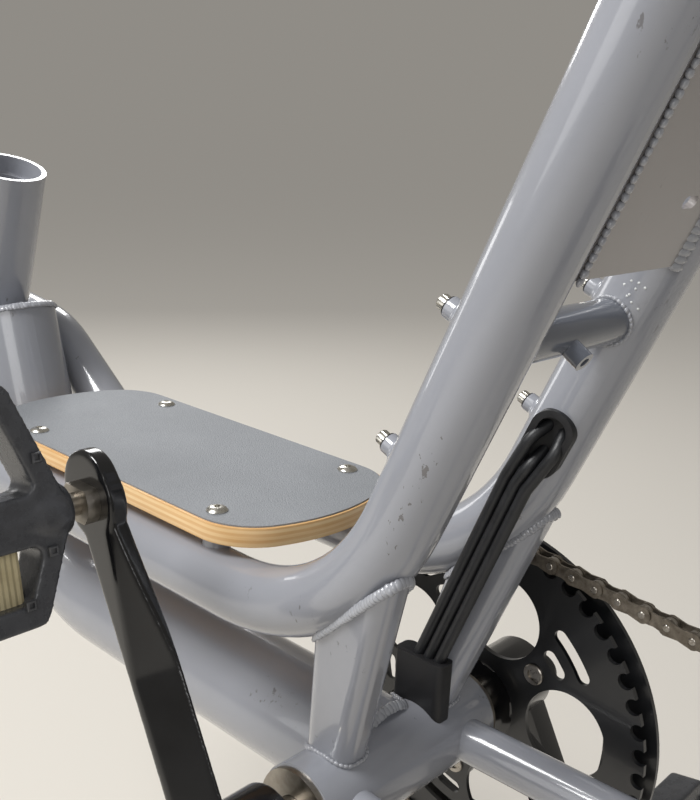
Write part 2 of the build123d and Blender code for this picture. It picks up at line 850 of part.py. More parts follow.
window_levels = (
    (pedal_barrel_radius, pedal_above - pedal_bar),
    (pedal_bar - pedal_below, -pedal_barrel_radius),
)
for side, name in left_right:
    eye = crank_centre + crank_dir * side * crank_length
    outer_y = side * crank_outer_y
    pedal_inner_y = side * (crank_outer_y + pedal_gap)
    bore_depth = pedal_axle_reach + pedal_window_corner
    middle = Vector(eye.X, pedal_inner_y + side * pedal_width / 2, eye.Z)
    pedal_plane = Plane(middle, x_dir=(0, 1, 0), z_dir=(math.sin(pedal_turn), 0, -math.cos(pedal_turn)))
    with BuildPart() as pedal:
        with BuildSketch(pedal_plane):
            with BuildLine():
                Polyline(*cage_points(side, -pedal_below, pedal_above, 0.0), close=True)
            make_face()
            fillet(vertices(), pedal_corner)
            for low, high in window_levels:
                with BuildSketch(Plane.XY, mode=Mode.PRIVATE) as window:
                    with BuildLine():
                        Polyline(*cage_points(side, low, high, pedal_bar), close=True)
                    make_face()
                    fillet(vertices(), pedal_window_corner)
                add(window.sketch_local, mode=Mode.SUBTRACT)
        extrude(amount=pedal_thickness / 2, both=True)
        add(disc(pedal_barrel_radius, 0, pedal_inner_y, side * pedal_width, eye))
        add(disc(pedal_axle_od / 2 + running_gap, 0, pedal_inner_y, side * bore_depth, eye), mode=Mode.SUBTRACT)
    write(pedal.part, f"pedal_{name}")
    with BuildPart() as pedal_axle:
        add(disc(pedal_axle_od / 2, 0, outer_y - side * crank_thickness,
                 side * (crank_thickness + pedal_gap + pedal_axle_reach), eye))
        with BuildSketch(side_plane(outer_y, eye)):
            Circle(pedal_flange_od / 2)
            Rectangle(pedal_flange_od, pedal_flats, mode=Mode.INTERSECT)
        extrude(amount=-side * pedal_flange_length)
    write(pedal_axle.part, f"pedal_axle_{name}")

# Rear end: dropouts, chain stays, seat stays, hub axle and nuts
axle_span = axle_x - crank_x
dropouts = {}
for side, name in left_right:
    inner_y = side * (dropout_y - dropout_thickness / 2)
    with BuildPart() as dropout:
        with BuildSketch(side_plane(inner_y, axle_centre)):
            with Locations((dropout_forward, 0)):
                RectangleRounded(dropout_length, dropout_height, dropout_corner)
            Circle(axle_od / 2, mode=Mode.SUBTRACT)
            with Locations((0, -dropout_height / 2)):
                Rectangle(axle_od, dropout_height, mode=Mode.SUBTRACT)
        extrude(amount=-side * dropout_thickness)
    dropouts[name] = dropout.part
    write(dropout.part, f"dropout_{name}")

    stay_points = [
        Vector(crank_x + x, side * y, crank_z - axle_drop * x / axle_span)
        for x, y in (
            (0.0, stay_shell_y),
            (stay_narrow_x, stay_narrow_y),
            (stay_wide_x, dropout_y),
            (axle_span + stay_end_gap, dropout_y),
        )
    ]
    with BuildPart() as chainstay:
        with BuildLine() as stay_path:
            FilletPolyline(*stay_points, radius=stay_bend_radius)
        with BuildSketch(Plane(stay_points[0], z_dir=stay_path.line % 0)):
            Circle(stay_od / 2)
        sweep()
        add(shell_blank.part, mode=Mode.SUBTRACT)
        add(struts[name], mode=Mode.SUBTRACT)
        add(lower_tube, mode=Mode.SUBTRACT)
        add(dropout.part, mode=Mode.SUBTRACT)
    write(largest(chainstay.part), f"chainstay_{name}")

    high_end = along_rise(seatstay_top_along, side * tube_y)
    axle_side = axle_centre + Vector(0, side * dropout_y, 0)
    stay_dir = Vector(high_end.X - axle_side.X, 0, high_end.Z - axle_side.Z).normalized()
    low_end = axle_side + stay_dir * (stay_end_gap - axle_od / 2)
    stay_bend = axle_side + stay_dir * seatstay_straight
    with BuildPart() as seatstay:
        with BuildLine() as seatstay_path:
            FilletPolyline(low_end, stay_bend, high_end, radius=stay_bend_radius)
        with BuildSketch(Plane(low_end, z_dir=seatstay_path.line % 0)):
            Circle(seatstay_od / 2)
        sweep()
        cope_to_tubes()
        add(dropout.part, mode=Mode.SUBTRACT)
    write(largest(seatstay.part), f"seatstay_{name}")

    with BuildPart() as axle_nut:
        with BuildSketch(side_plane(side * (dropout_y + dropout_thickness / 2), axle_centre)):
            RegularPolygon(axle_nut_flats / 2, 6, major_radius=False)
            Circle(axle_od / 2, mode=Mode.SUBTRACT)
        extrude(amount=-side * axle_nut_height)
    write(axle_nut.part, f"axle_nut_{name}")
write(disc(axle_od / 2, 0, -axle_length / 2, axle_length, axle_centre), "rear_axle")

# Hub motor: a bored drum with coned covers and two drilled spoke flanges
hub_plane = Plane(axle_centre, x_dir=(1, 0, 0), z_dir=(0, 0, 1))
half_flange = hub_flange_thickness / 2
hub_neck = hub_body_radius - hub_shoulder
with BuildPart() as hub:
    with BuildSketch(hub_plane):
        with BuildLine():
            Polyline(
                (hub_bore, hub_cover_right_y),
                (hub_cover_radius, hub_cover_right_y),
                (hub_neck, hub_flange_right_y - half_flange),
                (hub_radius, hub_flange_right_y - half_flange),
                (hub_radius, hub_flange_right_y + half_flange),
                (hub_body_radius, hub_flange_right_y + half_flange),
                (hub_body_radius, hub_flange_left_y - half_flange),
                (hub_radius, hub_flange_left_y - half_flange),
                (hub_radius, hub_flange_left_y + half_flange),
                (hub_neck, hub_flange_left_y + half_flange),
                (hub_cover_radius, hub_cover_left_y),
                (hub_bore, hub_cover_left_y),
                close=True,
            )
        make_face()
    revolve(axis=Axis(axle_centre, (0, 1, 0)))
    for flange_y, circle_radius in zip((hub_flange_left_y, hub_flange_right_y), spoke_circles):
        with BuildSketch(side_plane(flange_y, axle_centre)):
            with PolarLocations(circle_radius, spoke_holes):
                Circle(spoke_hole_od / 2)
        extrude(amount=hub_flange_thickness, both=True, mode=Mode.SUBTRACT)
write(hub.part, "hub_motor")
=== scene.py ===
import bpy
import bmesh
import math
from mathutils import Matrix, Vector
from mathutils.bvhtree import BVHTree


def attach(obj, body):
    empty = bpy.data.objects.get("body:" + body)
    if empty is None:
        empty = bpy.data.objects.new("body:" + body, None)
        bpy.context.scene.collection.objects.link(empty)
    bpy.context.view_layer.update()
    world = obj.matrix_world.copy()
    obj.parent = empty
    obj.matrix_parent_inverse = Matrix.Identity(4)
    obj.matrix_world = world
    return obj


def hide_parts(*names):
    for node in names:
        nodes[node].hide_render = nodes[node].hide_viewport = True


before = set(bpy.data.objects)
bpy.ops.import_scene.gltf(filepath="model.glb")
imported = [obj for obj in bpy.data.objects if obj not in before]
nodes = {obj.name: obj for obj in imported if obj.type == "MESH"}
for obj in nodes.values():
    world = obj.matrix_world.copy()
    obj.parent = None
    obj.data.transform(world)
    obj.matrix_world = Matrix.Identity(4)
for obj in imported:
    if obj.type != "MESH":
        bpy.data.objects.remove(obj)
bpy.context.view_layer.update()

# Places shared with the model. Points are in metres, and other sizes in millimetres.
mm = 0.001
crankCentre = Vector((-0.370, 0.0, -0.190))
axleCentre = Vector((-0.8117214, 0.0, -0.200))
straightAhead = Vector((1, 0, 0))
acrossLeft = Vector((0, 1, 0))
upright = Vector((0, 0, 1))
bothSides = ((1, "left"), (-1, "right"))

# The rear rises of the two main tubes, from the corner where they leave the level run
rise = {
    "angle": math.radians(66.5),
    "corner": crankCentre + Vector((-0.0125, 0, 0.0853)),
    "y": 49.0,          # middle of the bike to the middle of a tube
    "tubeRadius": 15.9,
}
riseUp = Vector((-math.cos(rise["angle"]), 0, math.sin(rise["angle"])))
riseFront = Vector((math.sin(rise["angle"]), 0, math.cos(rise["angle"])))

# The cranks, as in the model
crank = {
    "reach": 160.0,
    "turn": math.radians(61.3),
    "faceY": 116.0,     # outer face of an arm
}
crankDir = Vector((math.cos(crank["turn"]), 0, math.sin(crank["turn"])))


def onRise(up, y=0.0, front=0.0):  # up the rise, to the left and to the front, in millimetres
    return rise["corner"] + riseUp * up * mm + acrossLeft * y * mm + riseFront * front * mm


# A place on one rise's skin and its outward direction, turned from the front in degrees
def onRiseSkin(side, up, turn):
    out = riseFront * math.cos(math.radians(turn)) + acrossLeft * math.sin(math.radians(turn))
    return onRise(up, side * rise["y"]) + out * rise["tubeRadius"] * mm, out


# Small helpers
def srgb(code):  # a hex colour as linear red, green, blue, alpha
    parts = [int(code[i:i + 2], 16) / 255 for i in (1, 3, 5)]
    return tuple(c / 12.92 if c <= 0.04045 else ((c + 0.055) / 1.055) ** 2.4 for c in parts) + (1.0,)


# A node with its settings and inputs. An input is a value, a socket, or a node that gives its first output.
# The stops of a colour ramp are its two places, each with a hex colour or a grey value.
def addNode(tree, kind, settings=None, inputs=None, stops=()):
    node = tree.nodes.new(kind)
    for name, value in (settings or {}).items():
        setattr(node, name, value)
    for key, value in (inputs or {}).items():
        source = value.outputs[0] if isinstance(value, bpy.types.Node) else value
        if isinstance(source, bpy.types.NodeSocket):
            tree.links.new(source, node.inputs[key])
        else:
            node.inputs[key].default_value = source
    for index, (position, colour) in enumerate(stops):
        element = node.color_ramp.elements[index]
        element.position = position
        element.color = srgb(colour) if isinstance(colour, str) else (colour, colour, colour, 1.0)
    return node


def newMaterial(name):  # an empty material, its tree and the object's own coordinates
    material = bpy.data.materials.new(name)
    material.use_nodes = True
    tree = material.node_tree
    tree.nodes.clear()
    return material, tree, addNode(tree, "ShaderNodeTexCoord").outputs["Object"]


def surfaced(material, inputs):  # the material with its shader, from plain values and the patterns' nodes
    shader = addNode(material.node_tree, "ShaderNodeBsdfPrincipled", inputs=inputs)
    addNode(material.node_tree, "ShaderNodeOutputMaterial", inputs={"Surface": shader})
    return material


# Gloss enamel, sprayed and baked over the welded frame: smooth with a thin clear gloss,
# faint orange peel, dust and small dark scuffs
frameEnamel = {
    "colour": "#9799A0",
    "shade": "#919399",
    "scuff": "#55504E",
    "scuffAmount": 0.6,
    "cloudScale": 9.0,
    "patchScale": 22.0,
    "fleckScale": 260.0,     # flecks of about 1.5 mm
    "fleckStretch": (1.0, 1.0, 0.45),
    "dustScale": 60.0,
    "peelScale": 420.0,      # orange peel about 2.4 mm across
}
# Chain rub: a broken line of small dark chips up the left rise
chipLine = {
    "start": onRiseSkin(1, 60.0, 112.0)[0],
    "end": onRiseSkin(1, 128.0, 116.0)[0],
    "spread": 8.5,           # to each side of the line
    "chipScale": 430.0,      # chips about 1 mm wide, longer up the tube
    "chipStretch": (1.0, 1.0, 0.5),
    "amount": 0.75,
}


def chipMask(tree, place):  # how far a place is chipped, from nothing to the line's amount
    line = chipLine["end"] - chipLine["start"]
    middle = (chipLine["start"] + chipLine["end"]) / 2
    ahead = line.normalized()
    half = line.length / 2
    offset = addNode(tree, "ShaderNodeVectorMath", {"operation": "SUBTRACT"}, {0: place, 1: middle})
    aside = addNode(tree, "ShaderNodeVectorMath", {"operation": "CROSS_PRODUCT"}, {0: offset, 1: ahead})
    away = addNode(tree, "ShaderNodeVectorMath", {"operation": "LENGTH"}, {0: aside}).outputs["Value"]
    along = addNode(tree, "ShaderNodeVectorMath", {"operation": "DOT_PRODUCT"},
                    {0: offset, 1: ahead}).outputs["Value"]
    reach = addNode(tree, "ShaderNodeMath", {"operation": "ABSOLUTE"}, {0: along})
    near = addNode(tree, "ShaderNodeMapRange", inputs={
        0: away, 1: chipLine["spread"] * mm, 2: 0.0, 3: 0.0, 4: 1.0})
    inside = addNode(tree, "ShaderNodeMapRange", inputs={0: reach, 1: half, 2: half * 0.8, 3: 0.0, 4: 1.0})
    both = addNode(tree, "ShaderNodeMath", {"operation": "MULTIPLY"}, {0: near, 1: inside})
    stretched = addNode(tree, "ShaderNodeMapping", inputs={"Vector": place, "Scale": chipLine["chipStretch"]})
    chips = addNode(tree, "ShaderNodeTexNoise", inputs={
        "Vector": stretched, "Scale": chipLine["chipScale"], "Detail": 3.0, "Roughness": 0.6})
    raised = addNode(tree, "ShaderNodeMath", {"operation": "MULTIPLY_ADD"}, {0: both, 1: 0.2, 2: chips})
    return addNode(tree, "ShaderNodeValToRGB", inputs={"Fac": raised},
                   stops=((0.775, 0.0), (0.805, chipLine["amount"])))


def enamel(name, colour, shade, scuffAmount, chipped=False):
    material, tree, place = newMaterial(name)
    scuff = srgb(frameEnamel["scuff"])
    cloud = addNode(tree, "ShaderNodeTexNoise", inputs={
        "Vector": place, "Scale": frameEnamel["cloudScale"], "Detail": 3.0})
    base = addNode(tree, "ShaderNodeValToRGB", inputs={"Fac": cloud}, stops=((0.35, colour), (0.7, shade)))
    stretched = addNode(tree, "ShaderNodeMapping", inputs={
        "Vector": place, "Scale": frameEnamel["fleckStretch"]})
    flecks = addNode(tree, "ShaderNodeTexNoise", inputs={
        "Vector": stretched, "Scale": frameEnamel["fleckScale"], "Detail": 4.0, "Roughness": 0.7})
    fleckMask = addNode(tree, "ShaderNodeValToRGB", inputs={"Fac": flecks}, stops=((0.63, 0.0), (0.67, 1.0)))
    patches = addNode(tree, "ShaderNodeTexNoise", inputs={
        "Vector": place, "Scale": frameEnamel["patchScale"]})
    patchMask = addNode(tree, "ShaderNodeValToRGB", inputs={"Fac": patches},
                        stops=((0.57, 0.0), (0.64, scuffAmount)))
    scuffs = addNode(tree, "ShaderNodeMath", {"operation": "MULTIPLY"}, {0: fleckMask, 1: patchMask})
    paint = addNode(tree, "ShaderNodeMix", {"data_type": "RGBA"}, {0: scuffs, 6: base, 7: scuff}).outputs[2]
    if chipped:
        paint = addNode(tree, "ShaderNodeMix", {"data_type": "RGBA"},
                        {0: chipMask(tree, place), 6: paint, 7: scuff}).outputs[2]
    dust = addNode(tree, "ShaderNodeTexNoise", inputs={
        "Vector": place, "Scale": frameEnamel["dustScale"], "Detail": 5.0, "Roughness": 0.65})
    rough = addNode(tree, "ShaderNodeValToRGB", inputs={"Fac": dust}, stops=((0.3, 0.20), (0.75, 0.27)))
    peel = addNode(tree, "ShaderNodeTexNoise", inputs={
        "Vector": place, "Scale": frameEnamel["peelScale"], "Detail": 1.0})
    bump = addNode(tree, "ShaderNodeBump", inputs={"Height": peel, "Strength": 0.05, "Distance": 0.0003})
    return surfaced(material, {"Base Color": paint, "Roughness": rough, "Normal": bump, "IOR": 1.5,
                               "Coat Weight": 0.8, "Coat Roughness": 0.05})


frameGrey = (frameEnamel["colour"], frameEnamel["shade"], frameEnamel["scuffAmount"])
greyEnamel = enamel("greyGlossEnamel", *frameGrey)
leftTubeEnamel = enamel("chippedGreyEnamel", *frameGrey, chipped=True)
plateEnamel = enamel("plateGreyEnamel", "#948F8D", "#8B8683", 0.5)
# the cross tube has the frame's grey paint, darkened here with painted shade for the shadow between the two
# rises
crossTubeShadedEnamel = enamel("crossTubePaintedShadeEnamel", "#666A73", "#5A5E67", 0.3)


# Black anodised and lacquered aluminium: near black, with a soft clear coat and faint smears
def blackLacquer(name, colour, leastRough):
    material, tree, place = newMaterial(name)
    cloud = addNode(tree, "ShaderNodeTexNoise", inputs={"Vector": place, "Scale": 30.0, "Detail": 4.0})
    paint = addNode(tree, "ShaderNodeValToRGB", inputs={"Fac": cloud},
                    stops=((0.3, colour), (0.8, "#191A1C")))
    smear = addNode(tree, "ShaderNodeTexNoise", inputs={
        "Vector": place, "Scale": 90.0, "Detail": 5.0, "Roughness": 0.7})
    rough = addNode(tree, "ShaderNodeValToRGB", inputs={"Fac": smear},
                    stops=((0.3, leastRough), (0.8, leastRough + 0.08)))
    grain = addNode(tree, "ShaderNodeTexNoise", inputs={"Vector": place, "Scale": 700.0})
    bump = addNode(tree, "ShaderNodeBump", inputs={"Height": grain, "Strength": 0.05, "Distance": 0.0002})
    return surfaced(material, {"Base Color": paint, "Roughness": rough, "Normal": bump,
                               "Coat Weight": 0.25, "Coat Roughness": 0.08})


crankLacquer = blackLacquer("blackCrankLacquer", "#08080A", 0.14)
ringLacquer = blackLacquer("blackRingLacquer", "#101114", 0.34)

# Birch plywood with a lacquered edge: warm pale plies that lie one on another
deckWood = {
    "ply": 1.5625,           # thickness of one ply
    "lightPly": "#F0CC96",
    "darkPly": "#D9A462",
    "lightGrain": "#F0D6A8",
    "darkGrain": "#C9924F",
    "grainScale": 120.0,
    "grainStretch": (0.12, 0.12, 2.5),
}


def plywoodMaterial():
    material, tree, place = newMaterial("lacqueredPlywood")
    stretched = addNode(tree, "ShaderNodeMapping", inputs={
        "Vector": place, "Scale": deckWood["grainStretch"]})
    grain = addNode(tree, "ShaderNodeTexNoise", inputs={
        "Vector": stretched, "Scale": deckWood["grainScale"], "Detail": 5.0, "Roughness": 0.6})
    split = addNode(tree, "ShaderNodeSeparateXYZ", inputs={"Vector": place})
    layer = addNode(tree, "ShaderNodeMath", {"operation": "MULTIPLY"},
                    {0: split.outputs["Z"], 1: 1 / (deckWood["ply"] * mm)})
    plies = addNode(tree, "ShaderNodeMath", {"operation": "PINGPONG"}, {0: layer, 1: 1.0})
    plyColour = addNode(tree, "ShaderNodeValToRGB", inputs={"Fac": plies},
                        stops=((0.42, deckWood["lightPly"]), (0.58, deckWood["darkPly"])))
    grainColour = addNode(tree, "ShaderNodeValToRGB", inputs={"Fac": grain},
                          stops=((0.3, deckWood["lightGrain"]), (0.75, deckWood["darkGrain"])))
    paint = addNode(tree, "ShaderNodeMix", {"data_type": "RGBA"},
                    {0: 0.55, 6: plyColour, 7: grainColour}).outputs[2]
    bump = addNode(tree, "ShaderNodeBump", inputs={"Height": grain, "Strength": 0.2, "Distance": 0.0003})
    return surfaced(material, {"Base Color": paint, "Roughness": 0.42, "Normal": bump,
                               "Coat Weight": 0.25, "Coat Roughness": 0.2})


# Grip sheet: grit of about 0.3 mm in a grey binder, drawn at 0.8 mm so that it shows
gripSheet = {
    "colour": "#93969A",
    "worn": "#83868A",
    "wearScale": 12.0,
    "gritScale": 1250.0,
}


def gripMaterial():
    material, tree, place = newMaterial("gritGripSheet")
    grit = addNode(tree, "ShaderNodeTexVoronoi", inputs={"Vector": place, "Scale": gripSheet["gritScale"]})
    wear = addNode(tree, "ShaderNodeTexNoise", inputs={
        "Vector": place, "Scale": gripSheet["wearScale"], "Detail": 4.0, "Roughness": 0.6})
    base = addNode(tree, "ShaderNodeValToRGB", inputs={"Fac": wear},
                   stops=((0.3, gripSheet["colour"]), (0.75, gripSheet["worn"])))
    glint = addNode(tree, "ShaderNodeValToRGB", inputs={"Fac": grit}, stops=((0.1, 1.0), (0.6, 0.76)))
    paint = addNode(tree, "ShaderNodeMix", {"data_type": "RGBA", "blend_type": "MULTIPLY"},
                    {0: 1.0, 6: base, 7: glint}).outputs[2]
    bump = addNode(tree, "ShaderNodeBump", inputs={"Height": grit, "Strength": 0.5, "Distance": 0.0004})
    return surfaced(material, {"Base Color": paint, "Roughness": 0.62, "Normal": bump})


plywood = plywoodMaterial()
gripGrit = gripMaterial()


# A finish with a fine grain: cloudy between two colours, and rougher where it is lighter
def grained(name, light, dark, scale, leastRough, metallic=0.0, relief=0.1, spread=0.12):
    material, tree, place = newMaterial(name)
    cloud = addNode(tree, "ShaderNodeTexNoise", inputs={
        "Vector": place, "Scale": scale, "Detail": 4.0, "Roughness": 0.6})
    paint = addNode(tree, "ShaderNodeValToRGB", inputs={"Fac": cloud}, stops=((0.3, dark), (0.7, light)))
    rough = addNode(tree, "ShaderNodeValToRGB", inputs={"Fac": cloud},
                    stops=((0.3, leastRough), (0.8, leastRough + spread)))
    grain = addNode(tree, "ShaderNodeTexNoise", inputs={"Vector": place, "Scale": scale * 6, "Detail": 3.0})
    bump = addNode(tree, "ShaderNodeBump", inputs={"Height": grain, "Strength": relief, "Distance": 0.0003})
    return surfaced(material, {"Base Color": paint, "Roughness": rough, "Normal": bump, "Metallic": metallic})


# glass-filled nylon from a grained mould, with a low sheen
moldedNylon = grained("moldedBlackNylon", "#4E4F52", "#424346", 160.0, 0.26, relief=0.2, spread=0.04)
# soft moulded rubber and the extruded jackets of the cables, which are a little smoother
blackRubber = grained("blackRubber", "#1B1B1D", "#141416", 90.0, 0.5, relief=0.2)
cableJacket = grained("blackCableJacket", "#202124", "#17181A", 140.0, 0.38, relief=0.2)
# bright zinc plate, plain turned steel and darkened screws
zincBolt = grained("brightZincPlate", "#D8D6CF", "#B9B6AE", 300.0, 0.22, 1.0)
turnedSteel = grained("turnedSteel", "#A9A39A", "#8C867D", 220.0, 0.3, 1.0)
screwSteel = grained("darkenedScrewSteel", "#77787A", "#55565A", 260.0, 0.34, 0.8)
# chain plates under a brown film of oil and dust, rollers polished by the teeth
chainPlateSteel = grained("oiledChainSteel", "#8E867B", "#5E574D", 260.0, 0.34, 0.8)
chainRollerSteel = grained("polishedRollerSteel", "#B3AEA6", "#8E8880", 300.0, 0.25, 1.0)
# satin paint on the cast motor shell
motorPaint = grained("satinBlackMotorPaint", "#202124", "#191A1C", 120.0, 0.36, relief=0.2)
# glossy moulded strip, and the pale rest of dried water
creamInsert = grained("creamReflectorStrip", "#CFC29C", "#B8AA84", 90.0, 0.3, relief=0.05)
driedWater = grained("driedWaterSpot", "#E4E6E4", "#C9CCCA", 200.0, 0.12, relief=0.0)
print("materials made")

# what isn't named here is of the frame's grey enamel
nodeMaterials = {
    "main_tube_left": leftTubeEnamel, "cross_tube": crossTubeShadedEnamel, "gusset_plate": plateEnamel,
    "deck_board": plywood, "grip_sheet": gripGrit,
    "crank_left": crankLacquer, "crank_right": crankLacquer, "seat_clamp": crankLacquer,
    "chainring": ringLacquer, "chain_guard": ringLacquer,
    "bearing_cup_left": turnedSteel, "bearing_cup_right": turnedSteel, "spindle": turnedSteel,
    "pedal_axle_left": turnedSteel, "pedal_axle_right": turnedSteel, "rear_axle": turnedSteel,
    "axle_nut_left": zincBolt, "axle_nut_right": zincBolt,
    "chain": chainPlateSteel, "rear_sprocket": chainPlateSteel, "hub_motor": motorPaint,
    "pedal_left": moldedNylon, "pedal_right": moldedNylon,
    "cable_motor": cableJacket, "cable_brake": cableJacket, "cable_sensor": cableJacket,
    "cable_port": blackRubber, "cable_boot": blackRubber,
}
for name, piece in nodes.items():
    piece.data.materials.clear()
    piece.data.materials.append(nodeMaterials.get(name, greyEnamel))


# Making pieces
def linked(name, data):  # an object in the scene
    item = bpy.data.objects.new(name, data)
    bpy.context.scene.collection.objects.link(item)
    return item


def meshObject(name, vertices, edges=(), faces=()):
    mesh = bpy.data.meshes.new(name)
    mesh.from_pydata([tuple(v) for v in vertices], list(edges), list(faces))
    return linked(name, mesh)


def builtObject(name, shape):  # an object from a finished bmesh
    mesh = bpy.data.meshes.new(name)
    shape.to_mesh(mesh)
    shape.free()
    return linked(name, mesh)


def baked(source, name, material):  # a plain mesh piece in place of an object with live modifiers
    graph = bpy.context.evaluated_depsgraph_get()
    mesh = bpy.data.meshes.new_from_object(source.evaluated_get(graph), depsgraph=graph)
    mesh.materials.clear()
    mesh.materials.append(material)
    bpy.data.objects.remove(source)
    return linked(name, mesh)


mergeGap = 0.02 * mm  # a node's loose triangles are joined where their corners lie this close


def shadeSmooth(mesh, angle=35.0):
    mesh.shade_smooth()
    mesh.set_sharp_from_angle(angle=math.radians(angle))


def newGroup(name, sockets):  # a Geometry Nodes tree with named inputs, and what its first node gives
    tree = bpy.data.node_groups.new(name, "GeometryNodeTree")
    tree.interface.new_socket("Geometry", in_out="OUTPUT", socket_type="NodeSocketGeometry")
    for label, kind in (("Geometry", "Geometry"), *sockets):
        tree.interface.new_socket(label, in_out="INPUT", socket_type="NodeSocket" + kind)
    return tree, addNode(tree, "NodeGroupInput").outputs


# Weld beads: overlapping flattened ripples set along a path, each square to the path
# and standing on the stored outward direction, leaning a little off it and a little off its size
weld = {
    "pitch": 2.1,
    "width": 5.2,
    "height": 1.1,
    "lean": 0.10,                    # how far a ripple may lean off its direction
    "smallest": (0.92, 0.92, 0.85),  # share of its length, width and height
    "largest": (1.06, 1.08, 1.1),
}


def weldTree():
    tree, given = newGroup("weldRipples", (
        ("Ripple Pitch", "Float"), ("Ripple Length", "Float"), ("Bead Width", "Float"),
        ("Bead Height", "Float"), ("Seed", "Int"), ("Material", "Material")))
    curve = addNode(tree, "GeometryNodeMeshToCurve", inputs={"Mesh": given["Geometry"]})
    steps = addNode(tree, "GeometryNodeResampleCurve", {"mode": "LENGTH"},
                    {"Curve": curve, "Length": given["Ripple Pitch"]})
    outward = addNode(tree, "GeometryNodeInputNamedAttribute", {"data_type": "FLOAT_VECTOR"},
                      {"Name": "outward"}).outputs["Attribute"]
    along = addNode(tree, "GeometryNodeInputTangent")
    wobble = addNode(tree, "FunctionNodeRandomValue", {"data_type": "FLOAT_VECTOR"},
                     {"Min": (-weld["lean"],) * 3, "Max": (weld["lean"],) * 3, "Seed": given["Seed"]})
    standing = addNode(tree, "ShaderNodeVectorMath", {"operation": "ADD"}, {0: outward, 1: wobble})
    turnTo = addNode(tree, "FunctionNodeAxesToRotation", {"primary_axis": "Z", "secondary_axis": "X"},
                     {0: standing, 1: along})
    drop = addNode(tree, "GeometryNodeMeshUVSphere", inputs={"Segments": 12, "Rings": 6, "Radius": 1.0})
    half = addNode(tree, "ShaderNodeMath", {"operation": "MULTIPLY"}, {0: given["Bead Width"], 1: 0.5})
    size = addNode(tree, "ShaderNodeCombineXYZ",
                   inputs={"X": given["Ripple Length"], "Y": half, "Z": given["Bead Height"]})
    vary = addNode(tree, "FunctionNodeRandomValue", {"data_type": "FLOAT_VECTOR"},
                   {"Min": weld["smallest"], "Max": weld["largest"], "Seed": given["Seed"]})
    varied = addNode(tree, "ShaderNodeVectorMath", {"operation": "MULTIPLY"}, {0: size, 1: vary})
    ripples = addNode(tree, "GeometryNodeInstanceOnPoints",
                      inputs={"Points": steps, "Instance": drop, "Rotation": turnTo, "Scale": varied})
    real = addNode(tree, "GeometryNodeRealizeInstances", inputs={0: ripples})
    smooth = addNode(tree, "GeometryNodeSetShadeSmooth", inputs={0: real})
    painted = addNode(tree, "GeometryNodeSetMaterial", inputs={
        "Geometry": smooth, "Material": given["Material"]})
    addNode(tree, "NodeGroupOutput", inputs={0: painted})
    return tree


# Like small parts: the source mesh on every stored place
def copiesTree():
    tree, given = newGroup("placedCopies", (("Copy", "Object"), ("Material", "Material")))
    copy = addNode(tree, "GeometryNodeObjectInfo", inputs={"Object": given["Copy"]}).outputs["Geometry"]
    standing = addNode(tree, "GeometryNodeInputNamedAttribute", {"data_type": "FLOAT_VECTOR"},
                       {"Name": "standing"}).outputs["Attribute"]
    facing = addNode(tree, "GeometryNodeInputNamedAttribute", {"data_type": "FLOAT_VECTOR"},
                     {"Name": "facing"}).outputs["Attribute"]
    turnTo = addNode(tree, "FunctionNodeAxesToRotation", {"primary_axis": "Z", "secondary_axis": "X"},
                     {0: standing, 1: facing})
    copies = addNode(tree, "GeometryNodeInstanceOnPoints",
                     inputs={"Points": given["Geometry"], "Instance": copy, "Rotation": turnTo})
    real = addNode(tree, "GeometryNodeRealizeInstances", inputs={0: copies})
    painted = addNode(tree, "GeometryNodeSetMaterial", inputs={
        "Geometry": real, "Material": given["Material"]})
    addNode(tree, "NodeGroupOutput", inputs={0: painted})
    return tree


weldNodes = weldTree()
copyNodes = copiesTree()


def storeVectors(piece, name, vectors):
    attribute = piece.data.attributes.new(name, "FLOAT_VECTOR", "POINT")
    for item, vector in zip(attribute.data, vectors):
        item.vector = tuple(vector)


def giveTree(source, tree, values):  # its inputs are set by their sockets' identifiers
    modifier = source.modifiers.new("nodes", "NODES")
    modifier.node_group = tree
    for item in tree.interface.items_tree:
        if item.in_out == "INPUT" and item.name in values:
            modifier[item.identifier] = values[item.name]


# A bead along a path with its outward directions. Ripple is a ripple's half length as a share of the pitch.
def weldBead(name, path, closed=True, width=weld["width"], pitch=weld["pitch"], height=weld["height"],
             ripple=1.0):
    points, outwards = path
    count = len(points)
    edges = [(i, i + 1) for i in range(count - 1)] + ([(count - 1, 0)] if closed else [])
    source = meshObject(name + "Path", points, edges)
    storeVectors(source, "outward", outwards)
    giveTree(source, weldNodes, {
        "Ripple Pitch": pitch * mm, "Ripple Length": pitch * ripple * mm, "Bead Width": width * mm,
        "Bead Height": height * mm, "Seed": len(name), "Material": weldEnamel})
    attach(baked(source, name, weldEnamel), "frame")


def placedCopies(name, shape, places, material, body):  # places are (point, standing, facing)
    points, standings, facings = zip(*places)
    source = meshObject(name + "Places", points)
    storeVectors(source, "standing", standings)
    storeVectors(source, "facing", facings)
    giveTree(source, copyNodes, {"Copy": shape, "Material": material})
    piece = baked(source, name, material)
    bpy.data.objects.remove(shape)
    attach(piece, body)
    return piece


